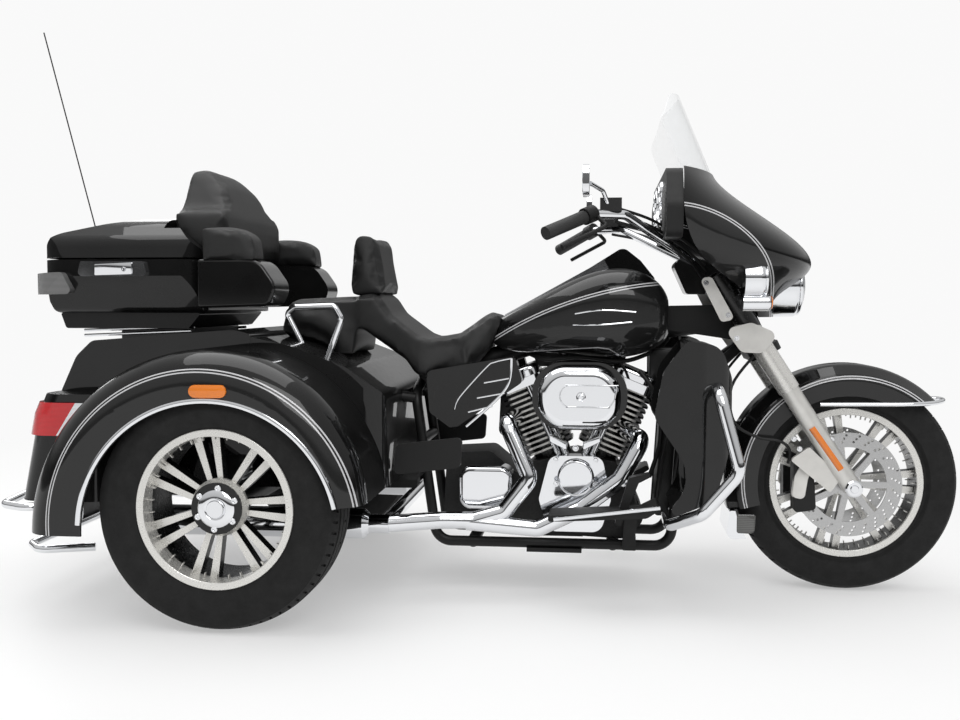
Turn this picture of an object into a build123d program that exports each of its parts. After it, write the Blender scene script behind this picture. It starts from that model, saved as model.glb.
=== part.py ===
"""Touring trike with one steered front wheel and two rear wheels, in millimetres.

+X is forward, +Y is left, +Z is up. The origin is on the floor, on the middle plane, half way
along the whole length. Each group of pieces is drawn from its own datum along X: the front axle,
the crankshaft or the rear axle. Heights are measured from the floor.
"""

from build123d import *
import math
import os

# Stations along the length
WHEELBASE = 1670
FRONT_AXLE_X = 1065
REAR_AXLE_X = FRONT_AXLE_X - WHEELBASE
CRANK_X = REAR_AXLE_X + 890

# Wheels and tyres
FRONT_TYRE_R = 316
FRONT_TYRE_WIDTH = 130
FRONT_BEAD_R = 205
FRONT_BEAD_HALF = 46
REAR_TYRE_R = 318
REAR_TYRE_WIDTH = 209
REAR_BEAD_R = 192
REAR_BEAD_HALF = 88
REAR_WHEEL_Y = 567
FLANGE_HEIGHT = 12
FLANGE_THICKNESS = 6
RIM_WALL = 7
SPOKE_PAIRS = 7
SPOKE_THICKNESS = 34
HUB_R = 42
HUB_HALF = 58
AXLE_R = 12.5
SHAFT_GAP = 0.1

# Steering head and fork
RAKE_DEG = 26
TRAIL = 100
FORK_DEG = 32.7
FORK_HALF_SPREAD = 126
LEG_R = 27
COVER_R = 31
STEM_R = 17
HEAD_TUBE_R = 34
HEAD_LOW_Z = 716
HEAD_HIGH_Z = 868
BRIDGE_THICKNESS = 24
COVER_LOW_Z = 591
BRIDGE_REACH = 46

# Front brake
DISC_R = 150
DISC_Y = 77
DISC_THICKNESS = 5
CALIPER_GAP = 3
CALIPER_LUG = 16

# Front fender
FENDER_R = 346
FENDER_SKIRT_R = 255
FENDER_HALF_WIDTH = 94
FENDER_WALL = 4
FENDER_FRONT_DEG = 44
FENDER_REAR_DEG = 194
FENDER_TRIM_Z = 549
STAY_Z = 552

# Handlebar fairing and windshield
FAIRING_WALL = 8
FAIRING_TOP_Z = 1200
SHIELD_WALL = 5
HEADLAMP_R = 88
HEADLAMP_Z = 884
HEADLAMP_FRONT_X = -140
DASH_THICKNESS = 44
DASH_LOW_Z = 1012

# Handlebar
BAR_R = 12.7
GRIP_R = 18

# Engine
CRANK_Z = 215
CYLINDER_DEG = 22.5
CASE_HALF_WIDTH = 95
BARREL_BASE = 150
BARREL_R = 56
FIN_COUNT = 13
FIN_PITCH = 16
FIN_THICKNESS = 6
FIN_HALF_LENGTH = 76
ROCKER_HEIGHT = 58
PIPE_R = 24
MUFFLER_R = 42
MUFFLER_Z = 226
MUFFLER_Y = 340

# Frame
RAIL_R = 15
RAIL_Y = 112
RAIL_Z = 133
BACKBONE_R = 30
BACKBONE_REAR_Z = 600
LIFT_PAD_THICKNESS = 8

# Rear body
TRUNK_HALF_WIDTH = 400
TRUNK_WALL = 8
TRUNK_FRONT_X = 14
STEP_X = -120
STEP_Z = 422
TRUNK_FLOOR_Z = 306
TRUNK_TOP_Z = 741
TRUNK_CORNER_R = 80
DOOR_HALF_WIDTH = 330
DOOR_LOW_Z = 345
DOOR_HIGH_Z = 690
DOOR_THICKNESS = 26
DOOR_GAP = 6
FENDER_OUTER_Y = 695
FENDER_INNER_Y = 380
FENDER_TOP_X = -20
FENDER_TOP_Z = 721
FENDER_REAR_R = 480
FENDER_FRONT_R = 402
SHOULDER_R = 88
FENDER_FRONT_LOW_Z = 334
FENDER_REAR_LOW_Z = 250
MOUTH_X = -8
MOUTH_Z = 262
MOUTH_R = 327
CORNER_OUTER_Y = 530
CORNER_FRONT_X = -340
REAR_WALL = 6
AXLE_TUBE_R = 36

# Top box
BOX_HALF_WIDTH = 332
BOX_REAR_X = -638
BOX_FRONT_X = -150
BOX_LOW_Z = 808
BOX_WAIST_Z = 905
BOX_TAPER = 34
BOX_SIDE_EASE = 0.3
BOX_REAR_SLOPE = 42
BOX_LAMP_DEPTH = 26
SEAM_Z = 962
SEAM_GAP = 5
LID_TOP_Z = 1088
BOX_WALL = 6
PAD_HALF_WIDTH = BOX_HALF_WIDTH - 50
PAD_REAR_X = -268
PLINTH_LOW_Z = 764

# Seats and small parts
SEAT_HALF_WIDTH = 176
BACKREST_HALF_WIDTH = 130
GUARD_R = 17
PLATE_HOLE_Z = 235
PLATE_HOLE_SPACING = 146
PLATE_HOLE_R = 3.5

# Hinges
PIN_R = 4
KNUCKLE_R = 9
KNUCKLE_LENGTH = 34
PIN_GAP = 0.05
SIDE_GAP = 0.3

# The share of a straight run that one corner's arc may take
RUN_SHARE = 0.49

RAKE = math.tan(math.radians(RAKE_DEG))
FORK_SLOPE = math.tan(math.radians(FORK_DEG))


def corner_arc(before, corner, after, radius):
    """The start, middle and end of a corner's arc, no larger than its two runs leave room for."""
    back, ahead = before - corner, after - corner
    half_turn = math.radians(180 - back.get_angle(ahead)) / 2
    reach = min(radius * math.tan(half_turn), RUN_SHARE * back.length, RUN_SHARE * ahead.length)
    fitted = reach / math.tan(half_turn)
    inward = (back.normalized() + ahead.normalized()).normalized()
    middle = corner + inward * (fitted / math.cos(half_turn) - fitted)
    return corner + back.normalized() * reach, middle, corner + ahead.normalized() * reach


def outline(corners):
    """A face in a plane's own two directions, from corners of (u, v, corner radius)."""
    points = [Vector(u, v) for u, v, radius in corners]
    count = len(corners)
    ahead = points[1:] + points[:1]
    arcs = [corner_arc(points[n - 1], points[n], ahead[n], corners[n][2]) for n in range(count)]
    edges = []
    for n, (start, middle, end) in enumerate(arcs):
        edges += [ThreePointArc(start, middle, end), Line(end, arcs[(n + 1) % count][0])]
    return make_face(edges)


def side_slab(corners, y_low, y_high):
    """A slab seen from the side: corners of (x, z, radius), between two Y values."""
    return extrude(Plane.XZ.offset(-y_high) * outline(corners), amount=y_high - y_low)


def cross_slab(corners, x_low, x_high):
    """A slab seen from the front: corners of (y, z, radius), between two X values."""
    return extrude(Plane.YZ.offset(x_low) * outline(corners), amount=x_high - x_low)


def plan_slab(corners, z_low, z_high):
    """A slab seen from above: corners of (x, y, radius), between two heights."""
    return extrude(Plane.XY.offset(z_low) * outline(corners), amount=z_high - z_low)


def block(x_low, x_high, y_low, y_high, z_low, z_high):
    """A plain box between two corners."""
    middle = Pos((x_low + x_high) / 2, (y_low + y_high) / 2, (z_low + z_high) / 2)
    return middle * Box(x_high - x_low, y_high - y_low, z_high - z_low)


def rod(start, end, radius):
    """A round bar between two points."""
    start, end = Vector(start), Vector(end)
    return extrude(Plane(origin=start, z_dir=end - start) * Circle(radius), amount=(end - start).length)


def tube(points, radius, bend):
    """A round tube along straight runs joined by arcs of one bend radius."""
    path = FilletPolyline(*points, radius=bend)
    return sweep(Plane(origin=path @ 0, z_dir=path % 0) * Circle(radius), path=path)


def turned(corners, x, y, z):
    """A turned piece about an axis along Y, from corners of (radius from the axis, y, corner radius)."""
    return Pos(x, y, z) * revolve(outline(corners), Axis.Y, 360)


def bored(x, z, radius, y_low, y_high):
    """A round bar along Y."""
    return rod((x, y_low, z), (x, y_high, z), radius)


def lofted(stations):
    """A smooth body along X through rounded sections: rows of (x, z low, z high, half width, radius)."""
    sections = [
        Plane.YZ.offset(x) * Pos(0, (low + high) / 2) * RectangleRounded(2 * half, high - low, radius)
        for x, low, high, half, radius in stations
    ]
    return loft(sections)


def both_sides(shape):
    """A piece on the right and its mirror image on the left."""
    return Part() + [shape, mirror(shape, about=Plane.XZ)]


def whole(shape):
    """Only the solids over a hundredth of the largest, so that no crumb of a cut is left."""
    solids = shape.solids()
    largest = max(solid.volume for solid in solids)
    return Compound(children=[solid for solid in solids if solid.volume > 0.01 * largest])


def steering_x(z):
    """The steering axis' place along X at a height, from the front axle."""
    return TRAIL - RAKE * z


def fork_x(z):
    """A fork leg's place along X at a height, from the front axle."""
    return -FORK_SLOPE * (z - FRONT_TYRE_R)


def knuckle(along, length, radius):
    """A round bar centred on the origin, along X or Y."""
    turn = Rot(0, 90, 0) if along == "x" else Rot(90, 0, 0)
    return turn * Cylinder(radius, length)


def hinge_fixed(along):
    """Two ears with the pin between them, centred on the pin's middle."""
    ear = KNUCKLE_LENGTH / 2
    reach = KNUCKLE_LENGTH / 2 + SIDE_GAP
    step = Vector(reach + ear / 2, 0, 0) if along == "x" else Vector(0, reach + ear / 2, 0)
    ears = [Pos(step * s) * knuckle(along, ear, KNUCKLE_R) for s in (-1, 1)]
    return Part() + ears + knuckle(along, 2 * reach + ear, PIN_R)


def hinge_moving(along):
    """The knuckle that turns on the pin."""
    return knuckle(along, KNUCKLE_LENGTH, KNUCKLE_R) - knuckle(along, KNUCKLE_LENGTH + 2, PIN_R + PIN_GAP)


# Wheels


def tyre(radius, width, bead_r, bead_half):
    """A tyre's closed ring, from its bead seat out to the crown."""
    half = width / 2
    wall = radius - bead_r
    right = [
        (bead_r, -bead_half, 1), (bead_r + 20, -bead_half, 6), (bead_r + wall * 0.38, -half, 16),
        (bead_r + wall * 0.62, -half, 22), (radius - wall * 0.09, -half * 0.82, 20),
        (radius, -half * 0.3, 40),
    ]
    left = [(r, -y, corner) for r, y, corner in reversed(right)]
    return outline(right + left)


def rim(bead_r, bead_half):
    """The rim's barrel with a flange at each side."""
    outer = bead_half + FLANGE_THICKNESS
    top = bead_r + FLANGE_HEIGHT
    inside = bead_r - RIM_WALL
    ring = outline([
        (inside, -outer, 2), (top, -outer, 2), (top, -bead_half, 1), (bead_r, -bead_half, 1),
        (bead_r, bead_half, 1), (top, bead_half, 1), (top, outer, 2), (inside, outer, 2),
    ])
    return revolve(ring, Axis.Y, 360)


def spokes(inner_r, outer_r, y_low, y_high, phase):
    """Pairs of flat spokes that lean towards each other at the rim."""
    bar = side_slab(
        [(inner_r, 5, 2), (outer_r, 14, 2), (outer_r, 36, 2), (inner_r, 17, 2)], y_low, y_high
    )
    pair = bar + mirror(bar, about=Plane.XY)
    turns = [Rot(0, phase + 360 / SPOKE_PAIRS * n, 0) * pair for n in range(SPOKE_PAIRS)]
    return Part() + turns


def wheel(bead_r, bead_half, hub_low, hub_high, spoke_low, spoke_high, phase):
    """A cast wheel about the origin: rim, spokes and a hub bored for its axle."""
    hub = bored(0, 0, HUB_R, hub_low, hub_high)
    arms = spokes(HUB_R - 4, bead_r - RIM_WALL + 1, spoke_low, spoke_high, phase)
    return rim(bead_r, bead_half) + arms + hub - bored(0, 0, AXLE_R + SHAFT_GAP, hub_low - 1, hub_high + 1)


def front_wheel_group():
    """The front tyre, its wheel and the two brake discs."""
    spot = Pos(FRONT_AXLE_X, 0, FRONT_TYRE_R)
    tread = revolve(tyre(FRONT_TYRE_R, FRONT_TYRE_WIDTH, FRONT_BEAD_R, FRONT_BEAD_HALF), Axis.Y, 360)
    cast = wheel(FRONT_BEAD_R, FRONT_BEAD_HALF, -HUB_HALF, HUB_HALF, -17, 17, 0)
    disc_low = DISC_Y - DISC_THICKNESS / 2
    ring = bored(0, 0, DISC_R, disc_low, disc_low + DISC_THICKNESS)
    ring -= bored(0, 0, DISC_R - 42, disc_low - 1, disc_low + DISC_THICKNESS + 1)
    arm = block(HUB_R - 10, DISC_R - 38, disc_low, disc_low + DISC_THICKNESS, -9, 9)
    boss = bored(0, 0, HUB_R - 6, HUB_HALF, disc_low + DISC_THICKNESS)
    boss -= bored(0, 0, AXLE_R + SHAFT_GAP, HUB_HALF - 1, DISC_R)
    arms = [Rot(0, 360 / SPOKE_PAIRS * n, 0) * arm for n in range(SPOKE_PAIRS)]
    disc = Part() + [ring, boss] + arms - bored(0, 0, AXLE_R + SHAFT_GAP, HUB_HALF - 1, DISC_R)
    return {
        "front_tyre": spot * tread,
        "front_wheel": spot * cast,
        "front_discs": spot * both_sides(disc),
    }


def rear_wheel_groups():
    """The two rear tyres and wheels, each on its own side."""
    pieces = {}
    tread = revolve(tyre(REAR_TYRE_R, REAR_TYRE_WIDTH, REAR_BEAD_R, REAR_BEAD_HALF), Axis.Y, 360)
    cast = wheel(REAR_BEAD_R, REAR_BEAD_HALF, -30, 62, 6, 40, 76)
    cast += turned([(HUB_R - 12, 40, 1), (74, 40, 2), (74, 52, 2), (61, 70, 8),
    (HUB_R - 12, 72, 1)], 0, 0, 0)
    for side, turn in (("left", Rot(0, 0, 0)), ("right", Rot(0, 0, 180))):
        sign = 1 if side == "left" else -1
        spot = Pos(REAR_AXLE_X, sign * REAR_WHEEL_Y, REAR_TYRE_R) * turn
        pieces[f"rear_tyre_{side}"] = spot * tread
        pieces[f"rear_wheel_{side}"] = spot * cast
    return pieces


# Steering group, drawn from the front axle


def fork_pieces():
    """Sliders with the axle, upper covers, and the two bridges on their stem."""
    top_z = HEAD_HIGH_Z + 46
    foot = (0, -FORK_HALF_SPREAD, FRONT_TYRE_R)
    knee = (fork_x(COVER_LOW_Z), -FORK_HALF_SPREAD, COVER_LOW_Z)
    crown = (fork_x(top_z), -FORK_HALF_SPREAD, top_z)
    slider = rod(foot, knee, LEG_R)
    slider += bored(0, FRONT_TYRE_R, 24, -FORK_HALF_SPREAD - 20, -FORK_HALF_SPREAD + 22)
    mount = side_slab([(-172, 392, 8), (-120, 430, 8), (-30, 345, 8), (-60, 300, 8)],
                      -FORK_HALF_SPREAD - CALIPER_LUG / 2, -FORK_HALF_SPREAD + CALIPER_LUG / 2)
    slider += mount
    legs = both_sides(slider) + bored(0, FRONT_TYRE_R, AXLE_R, -FORK_HALF_SPREAD, FORK_HALF_SPREAD)
    covers = both_sides(rod(knee, crown, COVER_R))
    low, high = HEAD_LOW_Z - 4, HEAD_HIGH_Z + 4
    bridges = rod((steering_x(low - BRIDGE_THICKNESS), 0, low - BRIDGE_THICKNESS),
                  (steering_x(high + BRIDGE_THICKNESS), 0, high + BRIDGE_THICKNESS), STEM_R)
    for z in (low - BRIDGE_THICKNESS / 2, high + BRIDGE_THICKNESS / 2):
        plate = Plane(origin=(steering_x(z), 0, z), x_dir=(0, 1, 0),
                      z_dir=(-math.sin(math.radians(RAKE_DEG)), 0, math.cos(math.radians(RAKE_DEG))))
        wide = Rectangle(2 * FORK_HALF_SPREAD, 2 * BRIDGE_REACH)
        shape = fillet(wide.vertices(), BRIDGE_REACH - 4)
        bridges += extrude(plate * shape, amount=BRIDGE_THICKNESS / 2, both=True)
    return legs, covers, bridges


def front_fender():
    """A deep skirted fender, turned about the axle and cut level above the trim line."""
    half, wall = FENDER_HALF_WIDTH, FENDER_WALL

    def bell(r_top, half_width, r_low):
        return outline([
            (r_low, -half_width, 1), (r_top - 34, -half_width, 24), (r_top, -half_width * 0.42, 40),
            (r_top, half_width * 0.42, 40), (r_top - 34, half_width, 24), (r_low, half_width, 1),
        ])

    sweep_deg = FENDER_REAR_DEG - FENDER_FRONT_DEG
    start = Rot(0, -FENDER_FRONT_DEG, 0)
    skin = start * revolve(bell(FENDER_R, half, FENDER_SKIRT_R), Axis.Y, -sweep_deg)
    inside = start * revolve(bell(FENDER_R - wall, half - wall, FENDER_SKIRT_R - wall), Axis.Y, -sweep_deg)
    shell = Pos(0, 0, FRONT_TYRE_R) * (skin - inside)
    return shell - block(-90, FENDER_R + 60, -half - 1, half + 1, FRONT_TYRE_R, FENDER_TRIM_Z)


def bow(nose_x, edge_x, half_width, wall, z):
    """A level crescent from edge to edge round the nose, for the fairing and the windshield."""
    outer = ThreePointArc((edge_x, -half_width), (nose_x, 0), (edge_x, half_width))
    inner = ThreePointArc((edge_x, half_width - wall), (nose_x - wall, 0), (edge_x, -half_width + wall))
    ends = [Line(outer @ 1, inner @ 0), Line(inner @ 1, outer @ 0)]
    return Plane.XY.offset(z) * make_face([outer, inner] + ends)


def fairing_bows(wall):
    """Level sections from the chin to the windshield: rows of (height, nose x, edge x, half width)."""
    rows = [
        (796, -206, -262, 104),
        (884, -150, -330, 196),
        (1004, -139, -470, 362),
        (1100, -270, -494, 382),
        (FAIRING_TOP_Z, -385, -492, 332),
    ]
    return loft([bow(nose, edge, half, wall, z) for z, nose, edge, half in rows])


def fairing_pieces():
    """The fairing's shell, the panel behind it and the clear windshield."""
    shell = fairing_bows(FAIRING_WALL)
    lamp_hole = rod((-400, 0, HEADLAMP_Z), (0, 0, HEADLAMP_Z), HEADLAMP_R + 0.3)
    panel = cross_slab(
        [(-330, 1196, 30), (330, 1196, 30), (380, 1100, 60), (360, DASH_LOW_Z, 40),
         (-360, DASH_LOW_Z, 40), (-380, 1100, 60)],
        -494 - DASH_THICKNESS, -494,
    )
    glass_rows = [(FAIRING_TOP_Z - 6, -386, -497, 322), (1432, -484, -596, 290)]
    glass = loft([bow(nose, edge, half, SHIELD_WALL, z) for z, nose, edge, half in glass_rows])
    face = cross_slab(
        [(-322, FAIRING_TOP_Z - 5, 2), (322, FAIRING_TOP_Z - 5, 2), (300, 1330, 60), (190, 1418, 120),
         (0, 1440, 300), (-190, 1418, 120), (-300, 1330, 60)],
        -700, -300,
    )
    return shell - lamp_hole, panel, glass & face


def headlamp():
    """The chrome ring and lens in the fairing's nose, and its bowl."""
    bowl = rod((HEADLAMP_FRONT_X - 88, 0, HEADLAMP_Z), (HEADLAMP_FRONT_X, 0, HEADLAMP_Z), HEADLAMP_R)
    return fillet(bowl.faces().sort_by(Axis.X)[-1].edges(), 14)


def lamp_pods():
    """Passing lamp above its turn signal, on the bar across the fork."""
    pod = rod((-320, -218, 905), (-262, -218, 905), 56)
    pod = fillet(pod.faces().sort_by(Axis.X)[-1].edges(), 16)
    signal = rod((-322, -225, 838), (-246, -225, 838), 24)
    signal = fillet(signal.faces().sort_by(Axis.X)[-1].edges(), 10)
    link = rod((-300, -222, 838), (-300, -218, 905), 10)
    arm = rod((-300, -222, 862), (-300, -90, 862), 12)
    return both_sides(pod + signal + link + arm)


def handlebar_pieces():
    """The bent bar, its grips, the hand controls and the mirrors."""
    rise = [(-435, 0, 950), (-450, -70, 962), (-645, -300, 1074), (-735, -340, 1074), (-847, -450, 1018)]
    half = tube(rise, BAR_R, 40)
    bar = half + mirror(half, about=Plane.XZ)
    inner, outer = Vector(*rise[3]), Vector(*rise[4])
    along = (outer - inner).normalized()
    grip = rod(inner + along * 28, outer + along * 6, GRIP_R) - bar
    housing = rod(inner - along * 8, inner + along * 27, GRIP_R + 5)
    reservoir = block(-712, -654, -330, -276, 1082, 1118)
    lever = tube([inner + Vector(8, 0, 0), inner + Vector(42, -36, -34), outer + Vector(38, 0, -36)], 6, 12)
    control = housing + reservoir + lever
    stalk = tube([(-690, -322, 1100), (-705, -345, 1135), (-738, -390, 1150)], 6, 16)
    glass = Pos(-748, -400, 1155) * Rot(0, 90, 0) * Box(78, 116, 16)
    glass = fillet(glass.edges().filter_by(Axis.X), 26)
    return bar, both_sides(grip), both_sides(control - bar), both_sides(stalk + glass)


def brake_calipers():
    """A caliper behind each slider, straddling its disc."""
    low, high = DISC_Y - 14, FORK_HALF_SPREAD - CALIPER_LUG / 2
    body = side_slab([(-160, 392, 12), (-106, 392, 12), (-96, 248, 12), (-158, 238, 12)], low, high)
    slot = bored(0, FRONT_TYRE_R, DISC_R + CALIPER_GAP + 2, DISC_Y - DISC_THICKNESS / 2 - CALIPER_GAP,
                 DISC_Y + DISC_THICKNESS / 2 + CALIPER_GAP)
    return both_sides(mirror(body - slot, about=Plane.XZ))


def steering_group():
    """Everything that turns with the handlebar, apart from the wheel."""
    legs, covers, bridges = fork_pieces()
    shell, panel, glass = fairing_pieces()
    bar, grips, controls, mirrors = handlebar_pieces()
    fender = front_fender()
    stay_x = fork_x(STAY_Z)
    stay = block(stay_x - 20, stay_x + 20, -FORK_HALF_SPREAD + 6, -FENDER_HALF_WIDTH,
                 STAY_Z - 18, STAY_Z + 18)
    stays = both_sides(stay)
    flap = side_slab([(-334, 236, 6), (-246, 236, 6), (-250, 158, 20), (-345, 152, 20)],
                     -FENDER_HALF_WIDTH - 2, FENDER_HALF_WIDTH + 2)
    flap -= bored(0, FRONT_TYRE_R, FRONT_TYRE_R + 12, -200, 200)
    shroud = side_slab([
        (-455, 992, 20), (-396, 905, 4), (-408, 862, 4), (-462, 862, 10), (-500, 946, 16)], -60, 60)
    group = {
        "fork_legs": legs + stays,
        "fork_covers": covers - legs,
        "fork_bridges": bridges - covers - legs,
        "front_fender": fender - stays,
        "fender_flap": flap - fender,
        "brake_calipers": brake_calipers() - legs,
        "handlebar_fairing": shell,
        "dash_panel": panel - shell - bar,
        "windshield": glass - shell - panel,
        "headlamp": headlamp(),
        "fork_shroud": shroud - bridges - covers - bar,
        "passing_lamps": lamp_pods() - covers - shell,
        "handlebar": bar,
        "hand_grips": grips,
        "hand_controls": controls - grips,
        "mirrors": mirrors - controls,
    }
    place = Pos(FRONT_AXLE_X, 0, 0)
    return {name: place * piece for name, piece in group.items()}


# Frame, engine and body, drawn from the crankshaft and the rear axle


def front(x):
    """A place along X from the front axle."""
    return FRONT_AXLE_X + x


def crank(x):
    """A place along X from the crankshaft."""
    return CRANK_X + x


def rear(x):
    """A place along X from the rear axle."""
    return REAR_AXLE_X + x


def frame():
    """The steering head, backbone, double cradle, seat rails and lift pads."""
    head_low = (front(steering_x(HEAD_LOW_Z)), 0, HEAD_LOW_Z)
    head_high = (front(steering_x(HEAD_HIGH_Z)), 0, HEAD_HIGH_Z)
    mid_z = (HEAD_LOW_Z + HEAD_HIGH_Z) / 2
    mid_x = front(steering_x(mid_z))
    seat_x = crank(-470)
    cradle = tube([
        (front(steering_x(HEAD_LOW_Z + 30)), -14, HEAD_LOW_Z + 30), (crank(345), -RAIL_Y, 600),
        (crank(272), -RAIL_Y, RAIL_Z), (crank(-408), -RAIL_Y, RAIL_Z), (seat_x, -RAIL_Y, 570),
        (seat_x, 0, BACKBONE_REAR_Z),
    ], RAIL_R, 50)
    seat_rail = rod((seat_x, -RAIL_Y, 556), (rear(TRUNK_FRONT_X), -RAIL_Y, 600), RAIL_R)
    backbone = tube([(mid_x, 0, mid_z), (crank(-120), 0, 715), (seat_x, 0, BACKBONE_REAR_Z)],
                    BACKBONE_R, 200)
    gusset = side_slab([
        (front(-296), 832, 4), (front(-520), 828, 20), (front(-530), 760, 20),
        (front(-330), 730, 4)], -42, 42)
    cross = [bored(crank(x), RAIL_Z, RAIL_R + 3, -RAIL_Y, RAIL_Y) for x in (110, -300)]
    cross.append(bored(crank(-452), 430, RAIL_R, -RAIL_Y, RAIL_Y))
    pad = block(crank(-140), crank(20), -RAIL_Y - 22, -RAIL_Y + 22, RAIL_Z - RAIL_R - LIFT_PAD_THICKNESS,
                RAIL_Z - RAIL_R + 4)
    tubes = both_sides(cradle) + both_sides(seat_rail) + both_sides(pad)
    head = rod(head_low, head_high, HEAD_TUBE_R)
    past = (Vector(*head_high) - Vector(*head_low)) * 0.2
    bore = rod(Vector(*head_low) - past, Vector(*head_high) + past, STEM_R + SHAFT_GAP)
    return Part() + [tubes, backbone, gusset, head] + cross - bore


def engine_case():
    """The crankcase and gearbox as one casting."""
    return side_slab([
        (crank(-392), 172, 30), (crank(150), 146, 40), (crank(204), 205, 40), (crank(165), 300, 20),
        (crank(118), 372, 5), (crank(0), 396, 5), (crank(-118), 372, 5), (crank(-165), 330, 20),
        (crank(-250), 400, 30), (crank(-380), 392, 30),
    ], -CASE_HALF_WIDTH, CASE_HALF_WIDTH)


def cylinders():
    """Two finned cylinders in a V with the intake pipe between them."""
    pieces = []
    for lean in (-CYLINDER_DEG, CYLINDER_DEG):
        fins = [
            Pos(0, 0, BARREL_BASE + 55 + FIN_PITCH * n) * extrude(
                RectangleRounded(2 * FIN_HALF_LENGTH, 2 * FIN_HALF_LENGTH, 34), amount=FIN_THICKNESS)
            for n in range(FIN_COUNT)
        ]
        barrel = Pos(0, 0, BARREL_BASE) * extrude(Circle(BARREL_R), amount=55 + FIN_PITCH * (FIN_COUNT - 1))
        pieces.append(Rot(0, lean, 0) * (Part() + [barrel] + fins))
    barrels = Part() + pieces
    intake = rod((-120, 0, 320), (120, 0, 320), 24) + rod((0, 0, 320), (0, -FIN_HALF_LENGTH - 4, 320), 34)
    return Pos(CRANK_X, 0, CRANK_Z) * Compound(children=[*barrels.solids(), *(intake - barrels).solids()])


def rocker_covers():
    """A cover over each cylinder, and the pushrod tubes that climb to them."""
    base = BARREL_BASE + 55 + FIN_PITCH * (FIN_COUNT - 1) + FIN_THICKNESS
    covers, rods = [], []
    for lean in (-CYLINDER_DEG, CYLINDER_DEG):
        lower = extrude(RectangleRounded(150, 206, 30), amount=ROCKER_HEIGHT * 0.45)
        upper = extrude(RectangleRounded(126, 182, 30), amount=ROCKER_HEIGHT)
        upper = fillet(upper.faces().sort_by(Axis.Z)[-1].edges(), 14)
        covers.append(Rot(0, lean, 0) * Pos(0, 0, base) * (lower + upper))
        sign = math.copysign(1, lean)
        high = Rot(0, lean, 0) * Pos(-sign * 36, -90, base)
        for shift in (0, 24):
            foot = Vector(sign * (20 + shift), -104, 165)
            rods.append(rod(foot, Vector(high.position.X + sign * shift, -90, high.position.Z + 6), 9))
    return Pos(CRANK_X, 0, CRANK_Z) * (Part() + covers + rods)


def engine_covers():
    """The bright covers: gearcase and its round cap, gearbox end cover, and the long primary cover."""
    right = -CASE_HALF_WIDTH
    gearcase = side_slab([
        (crank(-78), 176, 34), (crank(74), 176, 34), (crank(104), 270, 24), (crank(78), 396, 30),
        (crank(-72), 396, 30), (crank(-104), 270, 24)], right - 56, right)
    cap = bored(crank(3), 335, 53, right - 78, right - 56)
    cap = fillet(cap.edges().filter_by(GeomType.CIRCLE).sort_by(Axis.Y)[0], 8)
    gearbox = side_slab([
        (crank(-334), 238, 34), (crank(-178), 238, 34), (crank(-178), 364, 34), (crank(-334), 364, 34)],
        right - 78, right)
    gearbox = fillet(gearbox.faces().sort_by(Axis.Y)[0].edges(), 14)
    primary = side_slab([
        (crank(-400), 152, 90), (crank(112), 122, 95), (crank(112), 326, 95), (crank(-400), 352, 95)],
        CASE_HALF_WIDTH, CASE_HALF_WIDTH + 96)
    primary = fillet(primary.faces().sort_by(Axis.Y)[-1].edges(), 24)
    return Part() + [gearcase + cap, gearbox, primary]


def air_cleaner():
    """The oval cover and backplate on the intake's right side."""
    middle = Pos(crank(14), 0, 576)
    near = -FIN_HALF_LENGTH - 4
    plate = extrude(Plane.XZ.offset(206) * RectangleRounded(266, 190, 88), amount=24)
    cover = extrude(Plane.XZ.offset(230) * RectangleRounded(228, 172, 78), amount=76)
    cover = fillet(cover.faces().sort_by(Axis.Y)[0].edges(), 26)
    return middle * (plate + cover) + Pos(crank(0), 0, CRANK_Z + 320) * rod((0, near, 0), (0, -210, 0), 34)


def exhaust_system():
    """Two header pipes on the right, a cross pipe, and a muffler inside each rear wheel."""
    rear_header = [
        (-178, -70, 500), (-192, -225, 498), (-122, -250, 345), (-195, -255, 250), (-279, -262, MUFFLER_Z),
        (-375, -272, MUFFLER_Z), (-520, -MUFFLER_Y, MUFFLER_Z),
    ]
    front_header = [
        (140, -70, 470), (190, -225, 456), (128, -245, 346), (18, -250, 262), (-100, -256, 206),
        (-300, -264, MUFFLER_Z - 4),
    ]
    headers = [[(crank(x), y, z) for x, y, z in path] for path in (rear_header, front_header)]
    pipes = [tube(path, PIPE_R, 34) for path in headers]
    cross = bored(crank(-520), MUFFLER_Z, PIPE_R - 4, -MUFFLER_Y, MUFFLER_Y)
    can = rod((crank(-560), -MUFFLER_Y, MUFFLER_Z), (rear(-400), -MUFFLER_Y, MUFFLER_Z), MUFFLER_R)
    can = chamfer(can.faces().sort_by(Axis.X)[-1].edges(), 16)
    inlet = rod((crank(-505), -MUFFLER_Y, MUFFLER_Z), (crank(-562), -MUFFLER_Y, MUFFLER_Z), PIPE_R + 2)
    outlet = rod((rear(-410), -MUFFLER_Y, MUFFLER_Z), (rear(-360), -MUFFLER_Y, MUFFLER_Z), MUFFLER_R - 8)
    return Part() + pipes + [cross, both_sides(can + inlet + outlet)]


def fuel_tank():
    """The tank over the backbone, through sections along its length."""
    rows = [
        (-245, 715, 778, 62, 28), (-120, 690, 846, 142, 60), (20, 682, 915, 184, 84),
        (140, 680, 936, 188, 92), (225, 704, 905, 160, 78), (266, 742, 846, 104, 44),
    ]
    return lofted([(crank(x), low, high, half, corner) for x, low, high, half, corner in rows])


def tank_console():
    """The bright console along the tank's crown, with its tall front end."""
    side = side_slab([
        (crank(-215), 800, 10), (crank(40), 940, 60), (crank(136), 1000, 26), (crank(186), 960, 30),
        (crank(236), 898, 14), (crank(140), 860, 20), (crank(-200), 740, 10)], -62, 62)
    return side


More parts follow.
